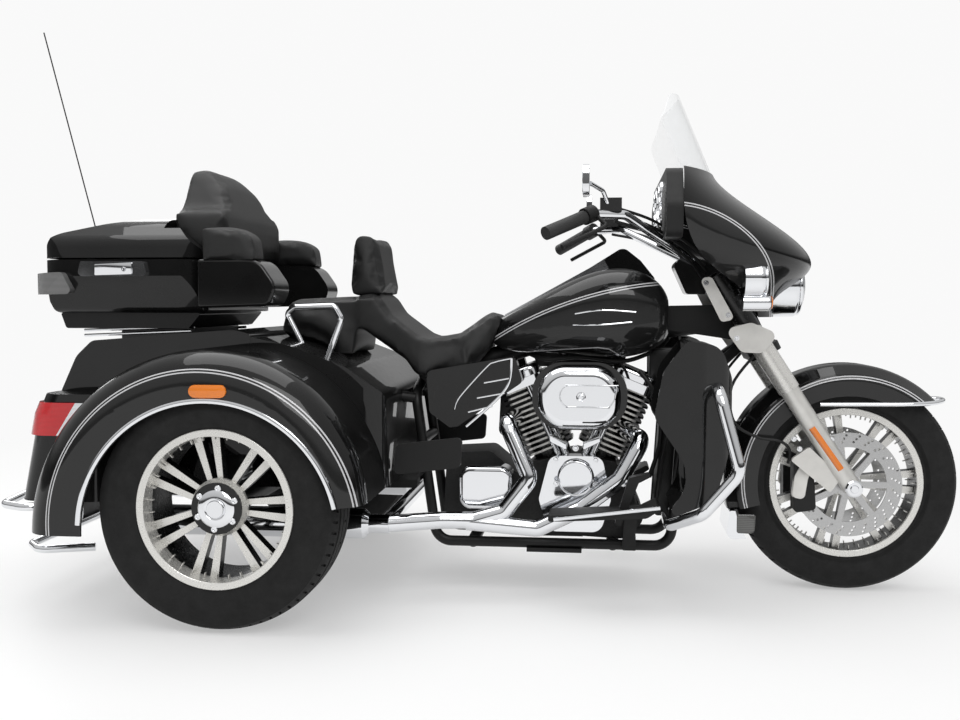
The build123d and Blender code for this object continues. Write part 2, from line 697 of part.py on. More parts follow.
def seats():
    """The rider's bucket with its bolster, the passenger's pad behind, and the rider's backrest."""
    rider = side_slab([
        (crank(-209), 800, 14), (crank(-236), 818, 14), (crank(-340), 742, 60), (crank(-440), 724, 70),
        (crank(-540), 800, 50), (crank(-575), 862, 20), (crank(-640), 856, 12), (crank(-655), 790, 8),
        (crank(-504), 680, 20), (crank(-452), 622, 20), (crank(-332), 616, 20), (crank(-250), 705, 20)],
        -SEAT_HALF_WIDTH, SEAT_HALF_WIDTH)
    plan = plan_slab([
        (crank(-200), -74, 30), (crank(-200), 74, 30), (crank(-330), 120, 60),
        (crank(-430), SEAT_HALF_WIDTH, 70),
        (crank(-660), SEAT_HALF_WIDTH - 12, 30), (crank(-660), 12 - SEAT_HALF_WIDTH, 30),
        (crank(-430), -SEAT_HALF_WIDTH, 70), (crank(-330), -120, 60)], 500, 1000)
    passenger_front = crank(-640)
    passenger = side_slab([
        (passenger_front, 852, 16), (rear(40), 842, 26), (rear(TRUNK_FRONT_X + 6), TRUNK_TOP_Z + 30, 8),
        (rear(TRUNK_FRONT_X + 6), TRUNK_TOP_Z - 60, 1), (passenger_front, 690, 8)],
        -SEAT_HALF_WIDTH + 14, SEAT_HALF_WIDTH - 14)
    pad = side_slab([
        (crank(-606), 852, 6), (crank(-560), 852, 12), (crank(-590), 1036, 20), (crank(-650), 1042, 24),
        (crank(-664), 856, 16)], -BACKREST_HALF_WIDTH, BACKREST_HALF_WIDTH)
    return rider & plan, passenger, pad


def side_covers():
    """The covers under the seat, one each side."""
    cover = side_slab([
        (crank(-172), 684, 16), (crank(-150), 610, 14), (crank(-352), 470, 20), (crank(-420), 520, 16),
        (crank(-430), 640, 20)], -RAIL_Y - 60, -RAIL_Y - 14)
    return both_sides(cover)


def trunk_form(inset):
    """The trunk's whole form, moved in by an even amount, round at its two rear corners."""
    half = TRUNK_HALF_WIDTH - inset
    side = side_slab([
        (rear(STEP_X - inset), TRUNK_FLOOR_Z + inset, 10), (rear(STEP_X - inset), STEP_Z + inset, 10),
        (rear(TRUNK_FRONT_X - inset), STEP_Z + inset, 10), (rear(TRUNK_FRONT_X - inset), 752 - inset, 16),
        (rear(-36), 764 - inset, 20), (rear(-440), TRUNK_TOP_Z - 8 - inset, 30),
        (rear(-486 + inset), 690 - inset / 2, 60), (rear(-556 + inset), 540, 160),
        (rear(-608 + inset), 330 + inset, 26),
        (rear(-580 + inset), TRUNK_FLOOR_Z + inset, 20)], -half, half)
    rear_x, front_x = rear(-612 + inset), rear(100)
    corner = TRUNK_CORNER_R - inset
    return side & plan_slab([
        (rear_x, -half, corner), (front_x, -half, 1), (front_x, half, 1), (rear_x, half, corner)], 200, 900)


def trunk_and_door():
    """The hollow trunk between the rear wheels and its door, hinged along its lower edge."""
    outer = trunk_form(0)
    band = outer - trunk_form(DOOR_THICKNESS)

    def window(grow):
        half = DOOR_HALF_WIDTH + grow
        return cross_slab([
            (-half, DOOR_LOW_Z - grow, 40), (half, DOOR_LOW_Z - grow, 40), (half, DOOR_HIGH_Z + grow, 60),
            (-half, DOOR_HIGH_Z + grow, 60)], rear(-700), rear(-380))

    door = band & window(0)
    trunk = outer - trunk_form(TRUNK_WALL) - window(DOOR_GAP)
    hinge_x, hinge_z = rear(-612), DOOR_LOW_Z - 2
    room = KNUCKLE_R + 1
    for y in (-200, 200):
        spot = Pos(hinge_x, y, hinge_z)
        leaf = block(hinge_x, hinge_x + 22, y - 14, y + 14, hinge_z + 2, hinge_z + 14)
        pocket = block(hinge_x - room, hinge_x + room, y - 40, y + 40, hinge_z - room, hinge_z + room)
        door -= pocket
        trunk -= pocket
        door += spot * hinge_moving("y") + (leaf - spot * knuckle("y", 100, PIN_R + 2))
        fixed = spot * hinge_fixed("y")
        for s in (-1, 1):
            edge = y + s * (KNUCKLE_LENGTH * 0.75 + SIDE_GAP)
            fixed += block(hinge_x - 2, rear(-590), edge - 7, edge + 7, hinge_z - 26, hinge_z)
        trunk += fixed
    return outer, trunk, door


def body_nose():
    """The body's tapered nose between the fenders and under the seat, open below."""
    def form(inset):
        side = side_slab([
            (rear(TRUNK_FRONT_X + inset), 180, 1), (rear(TRUNK_FRONT_X + inset), 744 - inset, 2),
            (rear(120), 722 - inset, 60), (rear(281), 662 - inset, 70),
            (rear(380 - inset), 590 - inset, 40),
            (rear(386 - inset), 334, 10), (rear(330), 180, 1)],
            -TRUNK_HALF_WIDTH + inset, TRUNK_HALF_WIDTH - inset)
        half = TRUNK_HALF_WIDTH - inset
        plan = plan_slab([
            (rear(TRUNK_FRONT_X), -half, 1), (rear(386 - inset), -half, 60), (rear(386 - inset), half, 60),
            (rear(TRUNK_FRONT_X), half, 1)], 170, 800)
        return side & plan
    floor = block(rear(-100), rear(500), -500, 500, 100, 334)
    return form(0), form(0) - form(REAR_WALL) - floor


def fender_form(inset):
    """The right fender's whole form: two tangent arcs from the side, and a round outer shoulder."""
    top = Vector(rear(FENDER_TOP_X), FENDER_TOP_Z - inset)
    half_way = Vector(math.sin(math.pi / 4), math.cos(math.pi / 4) - 1)
    back_r, ahead_r = FENDER_REAR_R - inset, FENDER_FRONT_R - inset
    tail, nose = top - Vector(back_r, back_r), top + Vector(ahead_r, -ahead_r)
    low_tail, low_nose = Vector(tail.X, 100), Vector(nose.X, 100)
    face = make_face([
        ThreePointArc(tail, top + Vector(-half_way.X, half_way.Y) * back_r, top),
        ThreePointArc(top, top + half_way * ahead_r, nose),
        Line(nose, low_nose), Line(low_nose, low_tail), Line(low_tail, tail),
    ])
    width = FENDER_OUTER_Y - inset - FENDER_INNER_Y
    form = extrude(Plane.XZ.offset(FENDER_INNER_Y) * face, amount=width)
    side = form.faces().sort_by(Axis.Y)[0]
    shoulder = [edge for edge in side.edges() if edge.center().Z > 101]
    return fillet(shoulder, SHOULDER_R - inset)


def tail_corner(grow):
    """The body's right rear corner between trunk and fender: rows of (height, rear edge)."""
    rows = [(TRUNK_FLOOR_Z, -600), (540, -553), (594, -529)]
    y_low, y_high = -CORNER_OUTER_Y - grow, -FENDER_INNER_Y
    sections = []
    for z, rear_x in rows:
        x_low, x_high = rear(rear_x - grow), rear(CORNER_FRONT_X)
        middle = Pos((x_low + x_high) / 2, (y_low + y_high) / 2)
        shape = RectangleRounded(x_high - x_low, y_high - y_low, 60 + grow)
        sections.append(Plane.XY.offset(z) * middle * shape)
    return loft(sections, ruled=True)


def rear_fenders():
    """A hollow fender over each rear wheel, with a round mouth in its side, and the body's corner."""
    y_low, y_high = -FENDER_OUTER_Y - 5, -FENDER_OUTER_Y + 60
    mouth = bored(rear(MOUTH_X), MOUTH_Z, MOUTH_R, y_low, y_high)
    mouth += block(rear(MOUTH_X - MOUTH_R), rear(MOUTH_X + MOUTH_R), y_low, y_high, 90, MOUTH_Z)
    below = block(rear(FENDER_TOP_X), rear(500), y_low, -300, 90, FENDER_FRONT_LOW_Z)
    below += block(rear(-600), rear(FENDER_TOP_X), y_low, -300, 90, FENDER_REAR_LOW_Z)
    shell = fender_form(0) - fender_form(REAR_WALL) - mouth - below
    return both_sides(shell + tail_corner(0))


def axle_housing():
    """The rear axle's tubes and centre with the two stub shafts, and the arms that reach the frame."""
    end = REAR_WHEEL_Y - 36
    tubes = bored(REAR_AXLE_X, REAR_TYRE_R, AXLE_TUBE_R, -end, end)
    centre = bored(REAR_AXLE_X, REAR_TYRE_R, 96, -62, 62)
    centre = fillet(centre.edges().filter_by(GeomType.CIRCLE), 30)
    shafts = bored(REAR_AXLE_X, REAR_TYRE_R, AXLE_R, -REAR_WHEEL_Y - 40, REAR_WHEEL_Y + 40)
    arm = side_slab([
        (crank(-462), 292, 10), (crank(-462), 346, 10), (rear(20), 352, 20), (rear(20), 286, 20)],
        -RAIL_Y - 22, -RAIL_Y + 22)
    return Part() + [tubes, centre, shafts, both_sides(arm)]


def rear_bumper():
    """Two bright bars round the tail on their brackets, and the plate bracket between them."""
    top = tube([
        (rear(-440), -470, 294), (rear(-560), -560, 294), (rear(-640), -520, 294), (rear(-674), -300, 294),
        (rear(-674), 300, 294), (rear(-640), 520, 294), (rear(-560), 560, 294),
        (rear(-440), 470, 294)], 11, 40)
    low = tube([
        (rear(-440), -400, 155), (rear(-580), -450, 155), (rear(-640), -380, 155), (rear(-640), 380, 155),
        (rear(-580), 450, 155), (rear(-440), 400, 155)], 11, 40)
    posts = [tube([(rear(-560), y, TRUNK_FLOOR_Z + 4), (rear(-560), y, 200), (rear(-640), y, 155)], 9, 30)
             for y in (-250, 250)]
    ties = [rod((rear(-560), y, 250), (rear(-674), y, 294), 9) for y in (-250, 250)]
    return Part() + [top, low] + posts + ties


def plate_bracket():
    """A plain plate on the lower bar with two bolt holes for a number plate."""
    back = rear(-640)
    plate = block(back - 15, back - 11, -90, 90, 150, 262)
    holes = [rod((back - 20, y, PLATE_HOLE_Z), (back, y, PLATE_HOLE_Z), PLATE_HOLE_R)
             for y in (-PLATE_HOLE_SPACING / 2, PLATE_HOLE_SPACING / 2)]
    return plate - holes


def rear_lamps():
    """The tail lamps wrapped round the body's rear corners, and the lamps on the top box's corners."""
    tail_window = block(rear(-660), rear(-400), -600, -432, 484, 572)
    tail = (tail_corner(10) - tail_corner(0)) & tail_window
    box_window = side_slab([
        (rear(-700), 918, 4), (rear(-700), 860, 4), (rear(-520), 862, 14),
        (rear(-546), 924, 14)], -400, -220)
    box_lamp = (box_form(-BOX_LAMP_DEPTH) - box_form(0)) & box_window
    return both_sides(tail - fender_form(0)), both_sides(box_lamp)


def box_plan(inset, z_low, z_high):
    """The top box's outline from above between two heights, moved in by an even amount."""
    half = BOX_HALF_WIDTH - inset
    return plan_slab([
        (rear(BOX_REAR_X + inset), -half, 90 - inset), (rear(BOX_FRONT_X - inset), -half, 60 - inset),
        (rear(BOX_FRONT_X - inset), half, 60 - inset),
        (rear(BOX_REAR_X + inset), half, 90 - inset)], z_low, z_high)


def box_form(inset):
    """The top box's base, moved in by an even amount, narrower towards its floor."""
    half, floor = BOX_HALF_WIDTH - inset, BOX_LOW_Z + inset
    seam_low = SEAM_Z - SEAM_GAP / 2
    above = SEAM_Z + 20
    side_y = half + BOX_SIDE_EASE
    across = cross_slab([
        (-half + BOX_TAPER, floor, 24), (half - BOX_TAPER, floor, 24), (side_y, BOX_WAIST_Z, 90),
        (side_y, above, 1), (-side_y, above, 1), (-side_y, BOX_WAIST_Z, 90)], rear(-700), rear(0))
    back, ahead = rear(BOX_REAR_X + inset), rear(BOX_FRONT_X - inset)
    side = side_slab([
        (back + BOX_REAR_SLOPE, floor, 20), (ahead, floor, 10), (ahead, above, 1), (back, above, 1),
        (back, BOX_WAIST_Z + 20, 60)], -half, half)
    return box_plan(inset, floor, seam_low) & across & side


def lid_crown(inset):
    """The lid's form, moved in by an even amount, with its notch for the passenger's backrest."""
    seam = SEAM_Z + SEAM_GAP / 2 - 1
    back, ahead = rear(BOX_REAR_X + inset), rear(BOX_FRONT_X - inset)
    half = BOX_HALF_WIDTH - inset
    side = side_slab([
        (back, seam, 1), (back, 990 - inset, 30), (rear(-585), 1034 - inset, 90),
        (rear(-450), 1066 - inset, 300),
        (rear(-330), 1082 - inset, 200), (rear(PAD_REAR_X - inset), 1084 - inset, 30),
        (ahead - 10, 990 - inset, 8), (ahead, seam, 1)], -half, half)
    across = cross_slab([
        (-half, seam, 1), (-half + 6, 1016 - inset, 50), (-250, 1074 - inset, 120),
        (-120, LID_TOP_Z - inset, 200), (120, LID_TOP_Z - inset, 200), (250, 1074 - inset, 120),
        (half - 6, 1016 - inset, 50), (half, seam, 1)], rear(-700), rear(0))
    notch = block(rear(PAD_REAR_X - 8 - inset), rear(0), -PAD_HALF_WIDTH - inset, PAD_HALF_WIDTH + inset,
                  seam - 5, LID_TOP_Z + 20)
    return (box_plan(inset, seam, LID_TOP_Z + 20) & side & across) - notch


def top_box():
    """The hollow box, its lid hinged along the left side, and the plinth under it."""
    seam_low, seam_high = SEAM_Z - SEAM_GAP / 2, SEAM_Z + SEAM_GAP / 2
    base = box_form(0) - box_form(BOX_WALL)
    shoulder = block(rear(PAD_REAR_X), rear(BOX_FRONT_X) - 2, -PAD_HALF_WIDTH, PAD_HALF_WIDTH,
                     seam_low - BOX_WALL, seam_low)
    base += shoulder
    foot = block(rear(-440), rear(-230), -210, 210, TRUNK_TOP_Z - 40, PLINTH_LOW_Z + 2)
    plinth = foot + side_slab([
        (rear(-590), BOX_LOW_Z, 4), (rear(-574), PLINTH_LOW_Z, 10), (rear(-208), PLINTH_LOW_Z, 10),
        (rear(-170), BOX_LOW_Z, 4)], -BOX_HALF_WIDTH + 50, BOX_HALF_WIDTH - 50)
    above = block(rear(-800), rear(0), -500, 500, seam_high, 1300)
    lid = (lid_crown(0) & above) - lid_crown(BOX_WALL)
    hinge_y = BOX_HALF_WIDTH + KNUCKLE_R + 0.5
    for x in (-560, -320):
        spot = Pos(rear(x), hinge_y, SEAM_Z)
        leaf = block(rear(x) - 14, rear(x) + 14, BOX_HALF_WIDTH - 1, hinge_y, seam_high + 2, seam_high + 16)
        lid += spot * hinge_moving("x") + (leaf - spot * knuckle("x", 100, PIN_R + 2))
        fixed = spot * hinge_fixed("x")
        for s in (-1, 1):
            edge = rear(x) + s * (KNUCKLE_LENGTH * 0.75 + SIDE_GAP)
            fixed += block(edge - 7, edge + 7, BOX_HALF_WIDTH - 1, hinge_y, seam_low - 16, seam_low)
        base += fixed
    return base + plinth, lid


def box_latch():
    """The bright latch cover on the box's right side, under the seam."""
    return side_slab([
        (rear(-508), 912, 12), (rear(-302), 912, 12), (rear(-312), 954, 8), (rear(-498), 954, 8)],
        -BOX_HALF_WIDTH - 12, -BOX_HALF_WIDTH)


def passenger_backrest():
    """The passenger's back pad on the box's front shoulder."""
    back = rear(PAD_REAR_X)
    pad = side_slab([
        (rear(-100), 970, 10), (rear(-104), 1082, 60), (rear(-146), 1186, 90), (rear(-206), 1252, 40),
        (rear(-262), 1246, 24), (back + 8, 1100, 60), (back + 30, SEAM_Z - 8, 1),
        (rear(-110), SEAM_Z - 8, 1)],
        -PAD_HALF_WIDTH + 8, PAD_HALF_WIDTH - 8)
    shape = cross_slab([
        (-PAD_HALF_WIDTH, 900, 10), (-PAD_HALF_WIDTH, 1084, 40), (-210, 1130, 60), (-120, 1254, 90),
        (120, 1254, 90), (210, 1130, 60), (PAD_HALF_WIDTH, 1084, 40), (PAD_HALF_WIDTH, 900, 10)],
        rear(-400), rear(0))
    return pad & shape


def pods_and_armrests():
    """A speaker pod at each front corner of the box with an armrest above it."""
    pod = side_slab([
        (rear(BOX_FRONT_X + 0.3), 822, 10), (rear(52), 828, 24), (rear(78), 880, 60),
        (rear(24), SEAM_Z - 4, 60),
        (rear(BOX_FRONT_X + 0.3), SEAM_Z - 4, 8)], -BOX_HALF_WIDTH - 30, -BOX_HALF_WIDTH + 110)
    pod = fillet(pod.faces().sort_by(Axis.Y)[0].edges(), 8)
    arm = side_slab([
        (rear(-138), SEAM_Z - 12, 1), (rear(20), SEAM_Z - 12, 8), (rear(14), 1020, 40),
        (rear(-30), 1043, 40),
        (rear(-138), 1046, 10)], -BOX_HALF_WIDTH - 34, -BOX_HALF_WIDTH + 56)
    return both_sides(pod), both_sides(arm)


def grab_rails():
    """A bright rail beside each side of the passenger's seat."""
    rail = tube([
        (rear(120), -230, 700), (rear(66), -232, 806), (rear(90), -234, 824), (rear(206), -234, 828),
        (rear(226), -232, 792), (rear(184), -230, 680)], 9, 16)
    return both_sides(rail)


def antenna():
    """A whip antenna on its foot at the lid's back."""
    foot = (rear(-600), 0, 1006)
    tip = (rear(-774), 0, 1680)
    stem = rod(foot, tip, 2)
    base = rod(foot, Vector(*foot) + (Vector(*tip) - Vector(*foot)).normalized() * 70, 9)
    return stem + base


def lower_fairings():
    """A leg shield each side, rounded in front and open behind."""
    def shell(inset):
        side = side_slab([
            (crank(296), 738 - inset, 24), (crank(388 - inset), 724 - inset, 60),
            (crank(428 - inset), 620, 120),
            (crank(424 - inset), 470, 90), (crank(378 - inset), 318 + inset, 60),
            (crank(236), 262 + inset, 14),
            (crank(318), 380, 120), (crank(212), 536, 40), (crank(236), 660, 90)],
            -400 + inset, -150 - inset)
        plan = plan_slab([
            (crank(200), -150 - inset, 1), (crank(330 - inset), -150 - inset, 40),
            (crank(424 - inset), -250, 60),
            (crank(424 - inset), -330, 70), (crank(330), -400 + inset, 70), (crank(200), -400 + inset, 1)],
            200, 800)
        return side & plan
    hollow = Pos(-14, 0, 0) * shell(6)
    return both_sides(shell(0) - hollow)


def engine_guard():
    """The bright tube loop in front of each leg shield."""
    loop = tube([
        (crank(300), -70, 640), (crank(372), -200, 650), (crank(380), -405, 600), (crank(432), -432, 400),
        (crank(340), -410, 285), (crank(262), -300, 232),
        (crank(262), -RAIL_Y - RAIL_R + 2, 232)], GUARD_R, 46)
    return both_sides(loop) + bored(crank(300), 640, GUARD_R, -72, 72)


def foot_controls():
    """The rider's footboards on their brackets, with the brake and shift pedals."""
    board = side_slab([
        (crank(-64), 254, 6), (crank(196), 268, 30), (crank(236), 296, 6), (crank(222), 306, 6),
        (crank(180), 284, 30), (crank(-66), 270, 6)], -400, -290)
    bracket = side_slab([
        (crank(138), 266, 4), (crank(176), 284, 4), (crank(170), 215, 8),
        (crank(144), 215, 8)], -330, -RAIL_Y - 10)
    foot = side_slab([
        (crank(144), 240, 4), (crank(170), 240, 4), (crank(178), RAIL_Z - 8, 6),
        (crank(136), RAIL_Z - 8, 6)],
        -RAIL_Y - 40, -RAIL_Y - 6)
    pedal = side_slab([
        (crank(150), 366, 6), (crank(206), 380, 6), (crank(206), 368, 4), (crank(176), 352, 4),
        (crank(128), 232, 6), (crank(112), 240, 6)], -340, -310)
    return both_sides(board + bracket + foot + pedal)


def passenger_footboards():
    """The passenger's boards, folded up against the frame."""
    board = side_slab([
        (crank(-496), 362, 14), (crank(-310), 384, 14), (crank(-304), 468, 14),
        (crank(-488), 446, 14)], -332, -316)
    arm = side_slab([
        (crank(-462), 380, 8), (crank(-430), 380, 8), (crank(-430), 346, 6), (crank(-462), 346, 6)],
        -316, -RAIL_Y - 4)
    return both_sides(board + arm)


def root_group():
    """Everything fixed to the frame, with the lid, the antenna and the trunk's door at rest."""
    rider, passenger, rider_pad = seats()
    body_form, trunk, door = trunk_and_door()
    nose_form, nose = body_nose()
    trunk += nose
    base, lid = top_box()
    pods, armrests = pods_and_armrests()
    tail, box_lamp = rear_lamps()
    pad = passenger_backrest()
    chassis, case = frame(), engine_case()
    case -= chassis
    barrels = cylinders() - case - chassis
    covers = engine_covers() - chassis
    rockers = rocker_covers() - barrels - covers - case
    air = air_cleaner() - barrels
    tank = fuel_tank() - chassis
    housing = axle_housing() - chassis
    fenders = rear_fenders() - body_form - nose_form
    box = base - body_form
    guard = engine_guard() - chassis
    bumper = rear_bumper() - trunk - fenders
    exhaust = exhaust_system() - barrels - chassis
    return {
        "frame": chassis,
        "engine_case": case,
        "cylinders": barrels,
        "rocker_covers": rockers,
        "engine_covers": covers,
        "air_cleaner": air,
        "exhaust_system": exhaust,
        "rear_axle_housing": housing,
        "fuel_tank": tank,
        "tank_console": tank_console() - tank,
        "seat": (rider + passenger) - chassis - tank - nose_form - body_form,
        "rider_backrest": rider_pad - rider - passenger,
        "side_covers": side_covers() - chassis - rider,
        "trunk_body": trunk - chassis - housing - exhaust,
        "trunk_door": door,
        "rear_fenders": fenders,
        "rear_bumper": bumper,
        "plate_bracket": plate_bracket() - bumper,
        "rear_lamps": Part() + [tail - body_form, box_lamp - box],
        "top_box_base": box,
        "top_box_lid": lid,
        "box_latch": box_latch(),
        "passenger_backrest": pad - box,
        "speaker_pods": pods - box - pad,
        "armrests": armrests - pods - pad - box,
        "grab_rails": grab_rails() - body_form - nose_form - chassis,
        "antenna": antenna() - lid_crown(0),
        "lower_fairings": lower_fairings() - guard - chassis,
        "engine_guard": guard,
        "foot_controls": foot_controls() - chassis,
        "passenger_footboards": passenger_footboards() - housing - chassis,
    }


parts = {}
parts.update(front_wheel_group())
parts.update(rear_wheel_groups())
parts.update(steering_group())
parts.update(root_group())

os.makedirs("parts", exist_ok=True)
for name, piece in parts.items():
    export_step(whole(piece), f"parts/{name}.step")
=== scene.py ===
"""The touring trike's looks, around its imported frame, in metres.

+X is forward, +Y is left, +Z is up, and the floor is at zero height.
"""

import math

import bmesh
import bpy
from mathutils import Matrix, Vector


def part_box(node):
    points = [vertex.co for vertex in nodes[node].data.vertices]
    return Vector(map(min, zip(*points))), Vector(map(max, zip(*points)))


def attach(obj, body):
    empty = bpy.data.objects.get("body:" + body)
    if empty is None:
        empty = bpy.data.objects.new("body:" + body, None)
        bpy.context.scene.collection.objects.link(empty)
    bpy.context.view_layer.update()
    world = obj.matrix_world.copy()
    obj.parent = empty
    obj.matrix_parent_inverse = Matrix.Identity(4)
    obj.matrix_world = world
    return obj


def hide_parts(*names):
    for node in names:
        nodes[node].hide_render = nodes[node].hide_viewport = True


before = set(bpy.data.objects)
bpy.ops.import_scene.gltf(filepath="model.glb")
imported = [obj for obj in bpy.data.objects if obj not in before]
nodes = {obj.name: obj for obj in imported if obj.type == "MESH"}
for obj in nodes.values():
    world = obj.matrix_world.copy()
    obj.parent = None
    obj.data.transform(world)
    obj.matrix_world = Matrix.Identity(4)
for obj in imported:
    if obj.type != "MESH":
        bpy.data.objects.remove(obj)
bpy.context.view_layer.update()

# Camera, solved from the photograph, which is 960 by 720 pixels
CAMERA_SPOT = (0.357, -3.250, 0.840)
CAMERA_TURN_DEG = (86.91, 0.0, 6.39)
LENS_MM = 40.45
SENSOR_MM = 36.0

# Backdrop white, the studio light around the trike, and the floor's radius in metres
BACKDROP = 0.95
STUDIO_STRENGTH = 0.62
FLOOR_RADIUS = 30.0

# Paint tones, and a double pinstripe's half widths in metres
DEEP_BLACK = (0.004, 0.004, 0.004, 1.0)
DARK_GREY = (0.016, 0.016, 0.016, 1.0)
DARKER_GREY = tuple(c * 0.8 for c in DARK_GREY[:3]) + (1.0,)
FLAKE_SCALE = 2600.0
SILVER_LOW = (0.62, 0.61, 0.585, 1.0)
SILVER_HIGH = (0.72, 0.71, 0.68, 1.0)
STRIPE_SILVER = (0.52, 0.52, 0.53, 1.0)
STRIPE_OUTER = 0.0052
STRIPE_INNER = 0.0020

# Stations taken from the frame
FRONT_LOW, FRONT_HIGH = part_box("front_tyre")
REAR_LOW, REAR_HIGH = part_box("rear_tyre_right")
FRONT_AXLE = Vector(((FRONT_LOW[0] + FRONT_HIGH[0]) / 2, 0.0, (FRONT_LOW[2] + FRONT_HIGH[2]) / 2))
REAR_AXLE = Vector(((REAR_LOW[0] + REAR_HIGH[0]) / 2, 0.0, (REAR_LOW[2] + REAR_HIGH[2]) / 2))
REAR_WHEEL_Y = -(REAR_LOW[1] + REAR_HIGH[1]) / 2
CRANK = Vector((REAR_AXLE.x + 0.890, 0.0, 0.215))
CYLINDER_LEAN = math.radians(22.5)

# Thin lines, and what goes round the wheels
LINE_RADIUS = 0.0042
HUB_FACE_Y = 0.6395
LUG_COUNT = 6
LUG_CIRCLE_R = 0.0525
REAR_FIN_COUNT = 35
REAR_FIN_Y = 0.62
REAR_FIN_REACH = (0.174, 0.184)
FRONT_FIN_COUNT = 42
FRONT_FIN_Y = 0.030
FRONT_FIN_REACH = (0.187, 0.197)


class Socket:
    """A shader socket that takes Python's arithmetic, each step as a Math node."""

    def __init__(self, shader, link):
        self.shader, self.link = shader, link

    def _math(self, operation, first, second):
        return self.shader.node("ShaderNodeMath", {"operation": operation}, first, second)

    def __add__(self, other):
        return self._math("ADD", self, other)

    __radd__ = __add__

    def __sub__(self, other):
        return self._math("SUBTRACT", self, other)

    def __rsub__(self, other):
        return self._math("SUBTRACT", other, self)

    def __mul__(self, other):
        return self._math("MULTIPLY", self, other)

    __rmul__ = __mul__

    def __truediv__(self, other):
        return self._math("DIVIDE", self, other)

    def __pow__(self, other):
        return self._math("POWER", self, other)

    def __gt__(self, other):
        return self._math("GREATER_THAN", self, other)

    def __lt__(self, other):
        return self._math("LESS_THAN", self, other)

    def __abs__(self):
        return self._math("ABSOLUTE", self, 0.0)

    def clamped(self):
        """The value held between 0 and 1."""
        return self.shader.node("ShaderNodeClamp", {}, self)


class Shader:
    """One material's node tree, with its Principled shader."""

    def __init__(self, name, **values):
        self.material = bpy.data.materials.new(name)
        self.material.use_nodes = True
        self.tree = self.material.node_tree
        self.surface = self.tree.nodes["Principled BSDF"]
        self.output = self.tree.nodes["Material Output"]
        for key, value in values.items():
            name = key.replace("_", " ").title().replace("Ior", "IOR")
            self.surface.inputs[name].default_value = value
        self.place = Socket(self, self.node("ShaderNodeTexCoord", {}).link.node.outputs["Object"])

    def put(self, entry, value):
        """Links a socket, or writes a number or colour."""
        if isinstance(value, Socket):
            self.tree.links.new(value.link, entry)
        else:
            entry.default_value = value

    def node(self, kind, settings, *values, out=0, **named):
        """A node of one type: its settings first, then its inputs by order or by name."""
        made = self.tree.nodes.new(kind)
        for key, value in settings.items():
            if key == "stops":
                self.stops(made.color_ramp, value)
            else:
                setattr(made, key, value)
        for entry, value in zip(made.inputs, values):
            if value is not None:
                self.put(entry, value)
        for key, value in named.items():
            self.put(made.inputs[key.replace("_", " ")], value)
        return Socket(self, made.outputs[out])

    def stops(self, ramp, rows):
        """A colour ramp's stops: rows of (position, grey or colour)."""
        while len(ramp.elements) > 1:
            ramp.elements.remove(ramp.elements[-1])
        for n, (position, value) in enumerate(rows):
            stop = ramp.elements[0] if n == 0 else ramp.elements.new(position)
            stop.position = position
            stop.color = value if isinstance(value, tuple) else (value, value, value, 1.0)

    def noise(self, scale, detail=3.0, roughness=0.5, at=None):
        """Soft noise from 0 to 1."""
        return self.node("ShaderNodeTexNoise", {}, at or self.place, Scale=scale, Detail=detail,
                         Roughness=roughness)

    def cells(self, scale, at=None, feature="F1"):
        """Distance to the nearest cell's point."""
        return self.node("ShaderNodeTexVoronoi", {"feature": feature}, at or self.place, Scale=scale)

    def axis(self, which):
        """One coordinate, in metres."""
        made = self.tree.nodes.new("ShaderNodeSeparateXYZ")
        self.put(made.inputs[0], self.place)
        return Socket(self, made.outputs["XYZ".index(which)])

    def ring(self, x, z, radius):
        """Signed distance from a circle, seen from the side."""
        across, up = self.axis("X") - x, self.axis("Z") - z
        return (across * across + up * up) ** 0.5 - radius

    def pair(self, distance):
        """A double pinstripe along a line of zero distance."""
        size = abs(distance)
        return (size < STRIPE_OUTER) * (size > STRIPE_INNER)

    def around(self, x, z, count):
        """The angle about an axle as 0 to 1, repeated a number of times."""
        turn = self.node("ShaderNodeMath", {"operation": "ARCTAN2"}, self.axis("Z") - z, self.axis("X") - x)
        return self.node("ShaderNodeMath", {"operation": "FRACT"}, turn * (count / math.tau) + count)

    def ramp(self, value, rows):
        """A value through a colour ramp."""
        return self.node("ShaderNodeValToRGB", {"stops": rows}, value)

    def blend(self, share, first, second):
        """Two colours mixed by a share."""
        made = self.tree.nodes.new("ShaderNodeMix")
        made.data_type = "RGBA"
        self.put(made.inputs["Factor"], share)
        self.put(made.inputs[6], first)
        self.put(made.inputs[7], second)
        return Socket(self, made.outputs[2])

    def set(self, **values):
        """Links onto the Principled shader's sockets."""
        for key, value in values.items():
            self.put(self.surface.inputs[key.replace("_", " ").title()], value)
        return self

    def bump(self, height, strength=0.3, distance=0.001):
        """A bump from a height, onto the shader's normal."""
        made = self.node("ShaderNodeBump", {}, Height=height, Strength=strength, Distance=distance)
        self.put(self.surface.inputs["Normal"], made)
        return self


def grey(level, tint=0.0):
    """A colour near a grey level, a little blue where tint is above 0."""
    return (level, level, level * (1.0 + tint), 1.0)


def gloss_black():
    """Deep black paint under clear lacquer, with faint polish marks."""
    s = Shader("gloss_black_paint", coat_weight=0.7, coat_roughness=0.02, specular_ior_level=0.06)
    haze = s.noise(9.0, 4.0)
    s.set(base_color=s.ramp(haze, [(0.35, grey(0.004)), (0.75, grey(0.007))]))
    s.set(roughness=s.noise(60.0, 2.0) * 0.10 + 0.30)
    return s


def chrome():
    """Bright plating with faint wiping marks."""
    s = Shader("bright_chrome", base_color=(0.80, 0.81, 0.83, 1.0), metallic=1.0)
    s.set(roughness=s.ramp(s.noise(14.0, 5.0), [(0.3, 0.045), (0.8, 0.11)]))
    return s


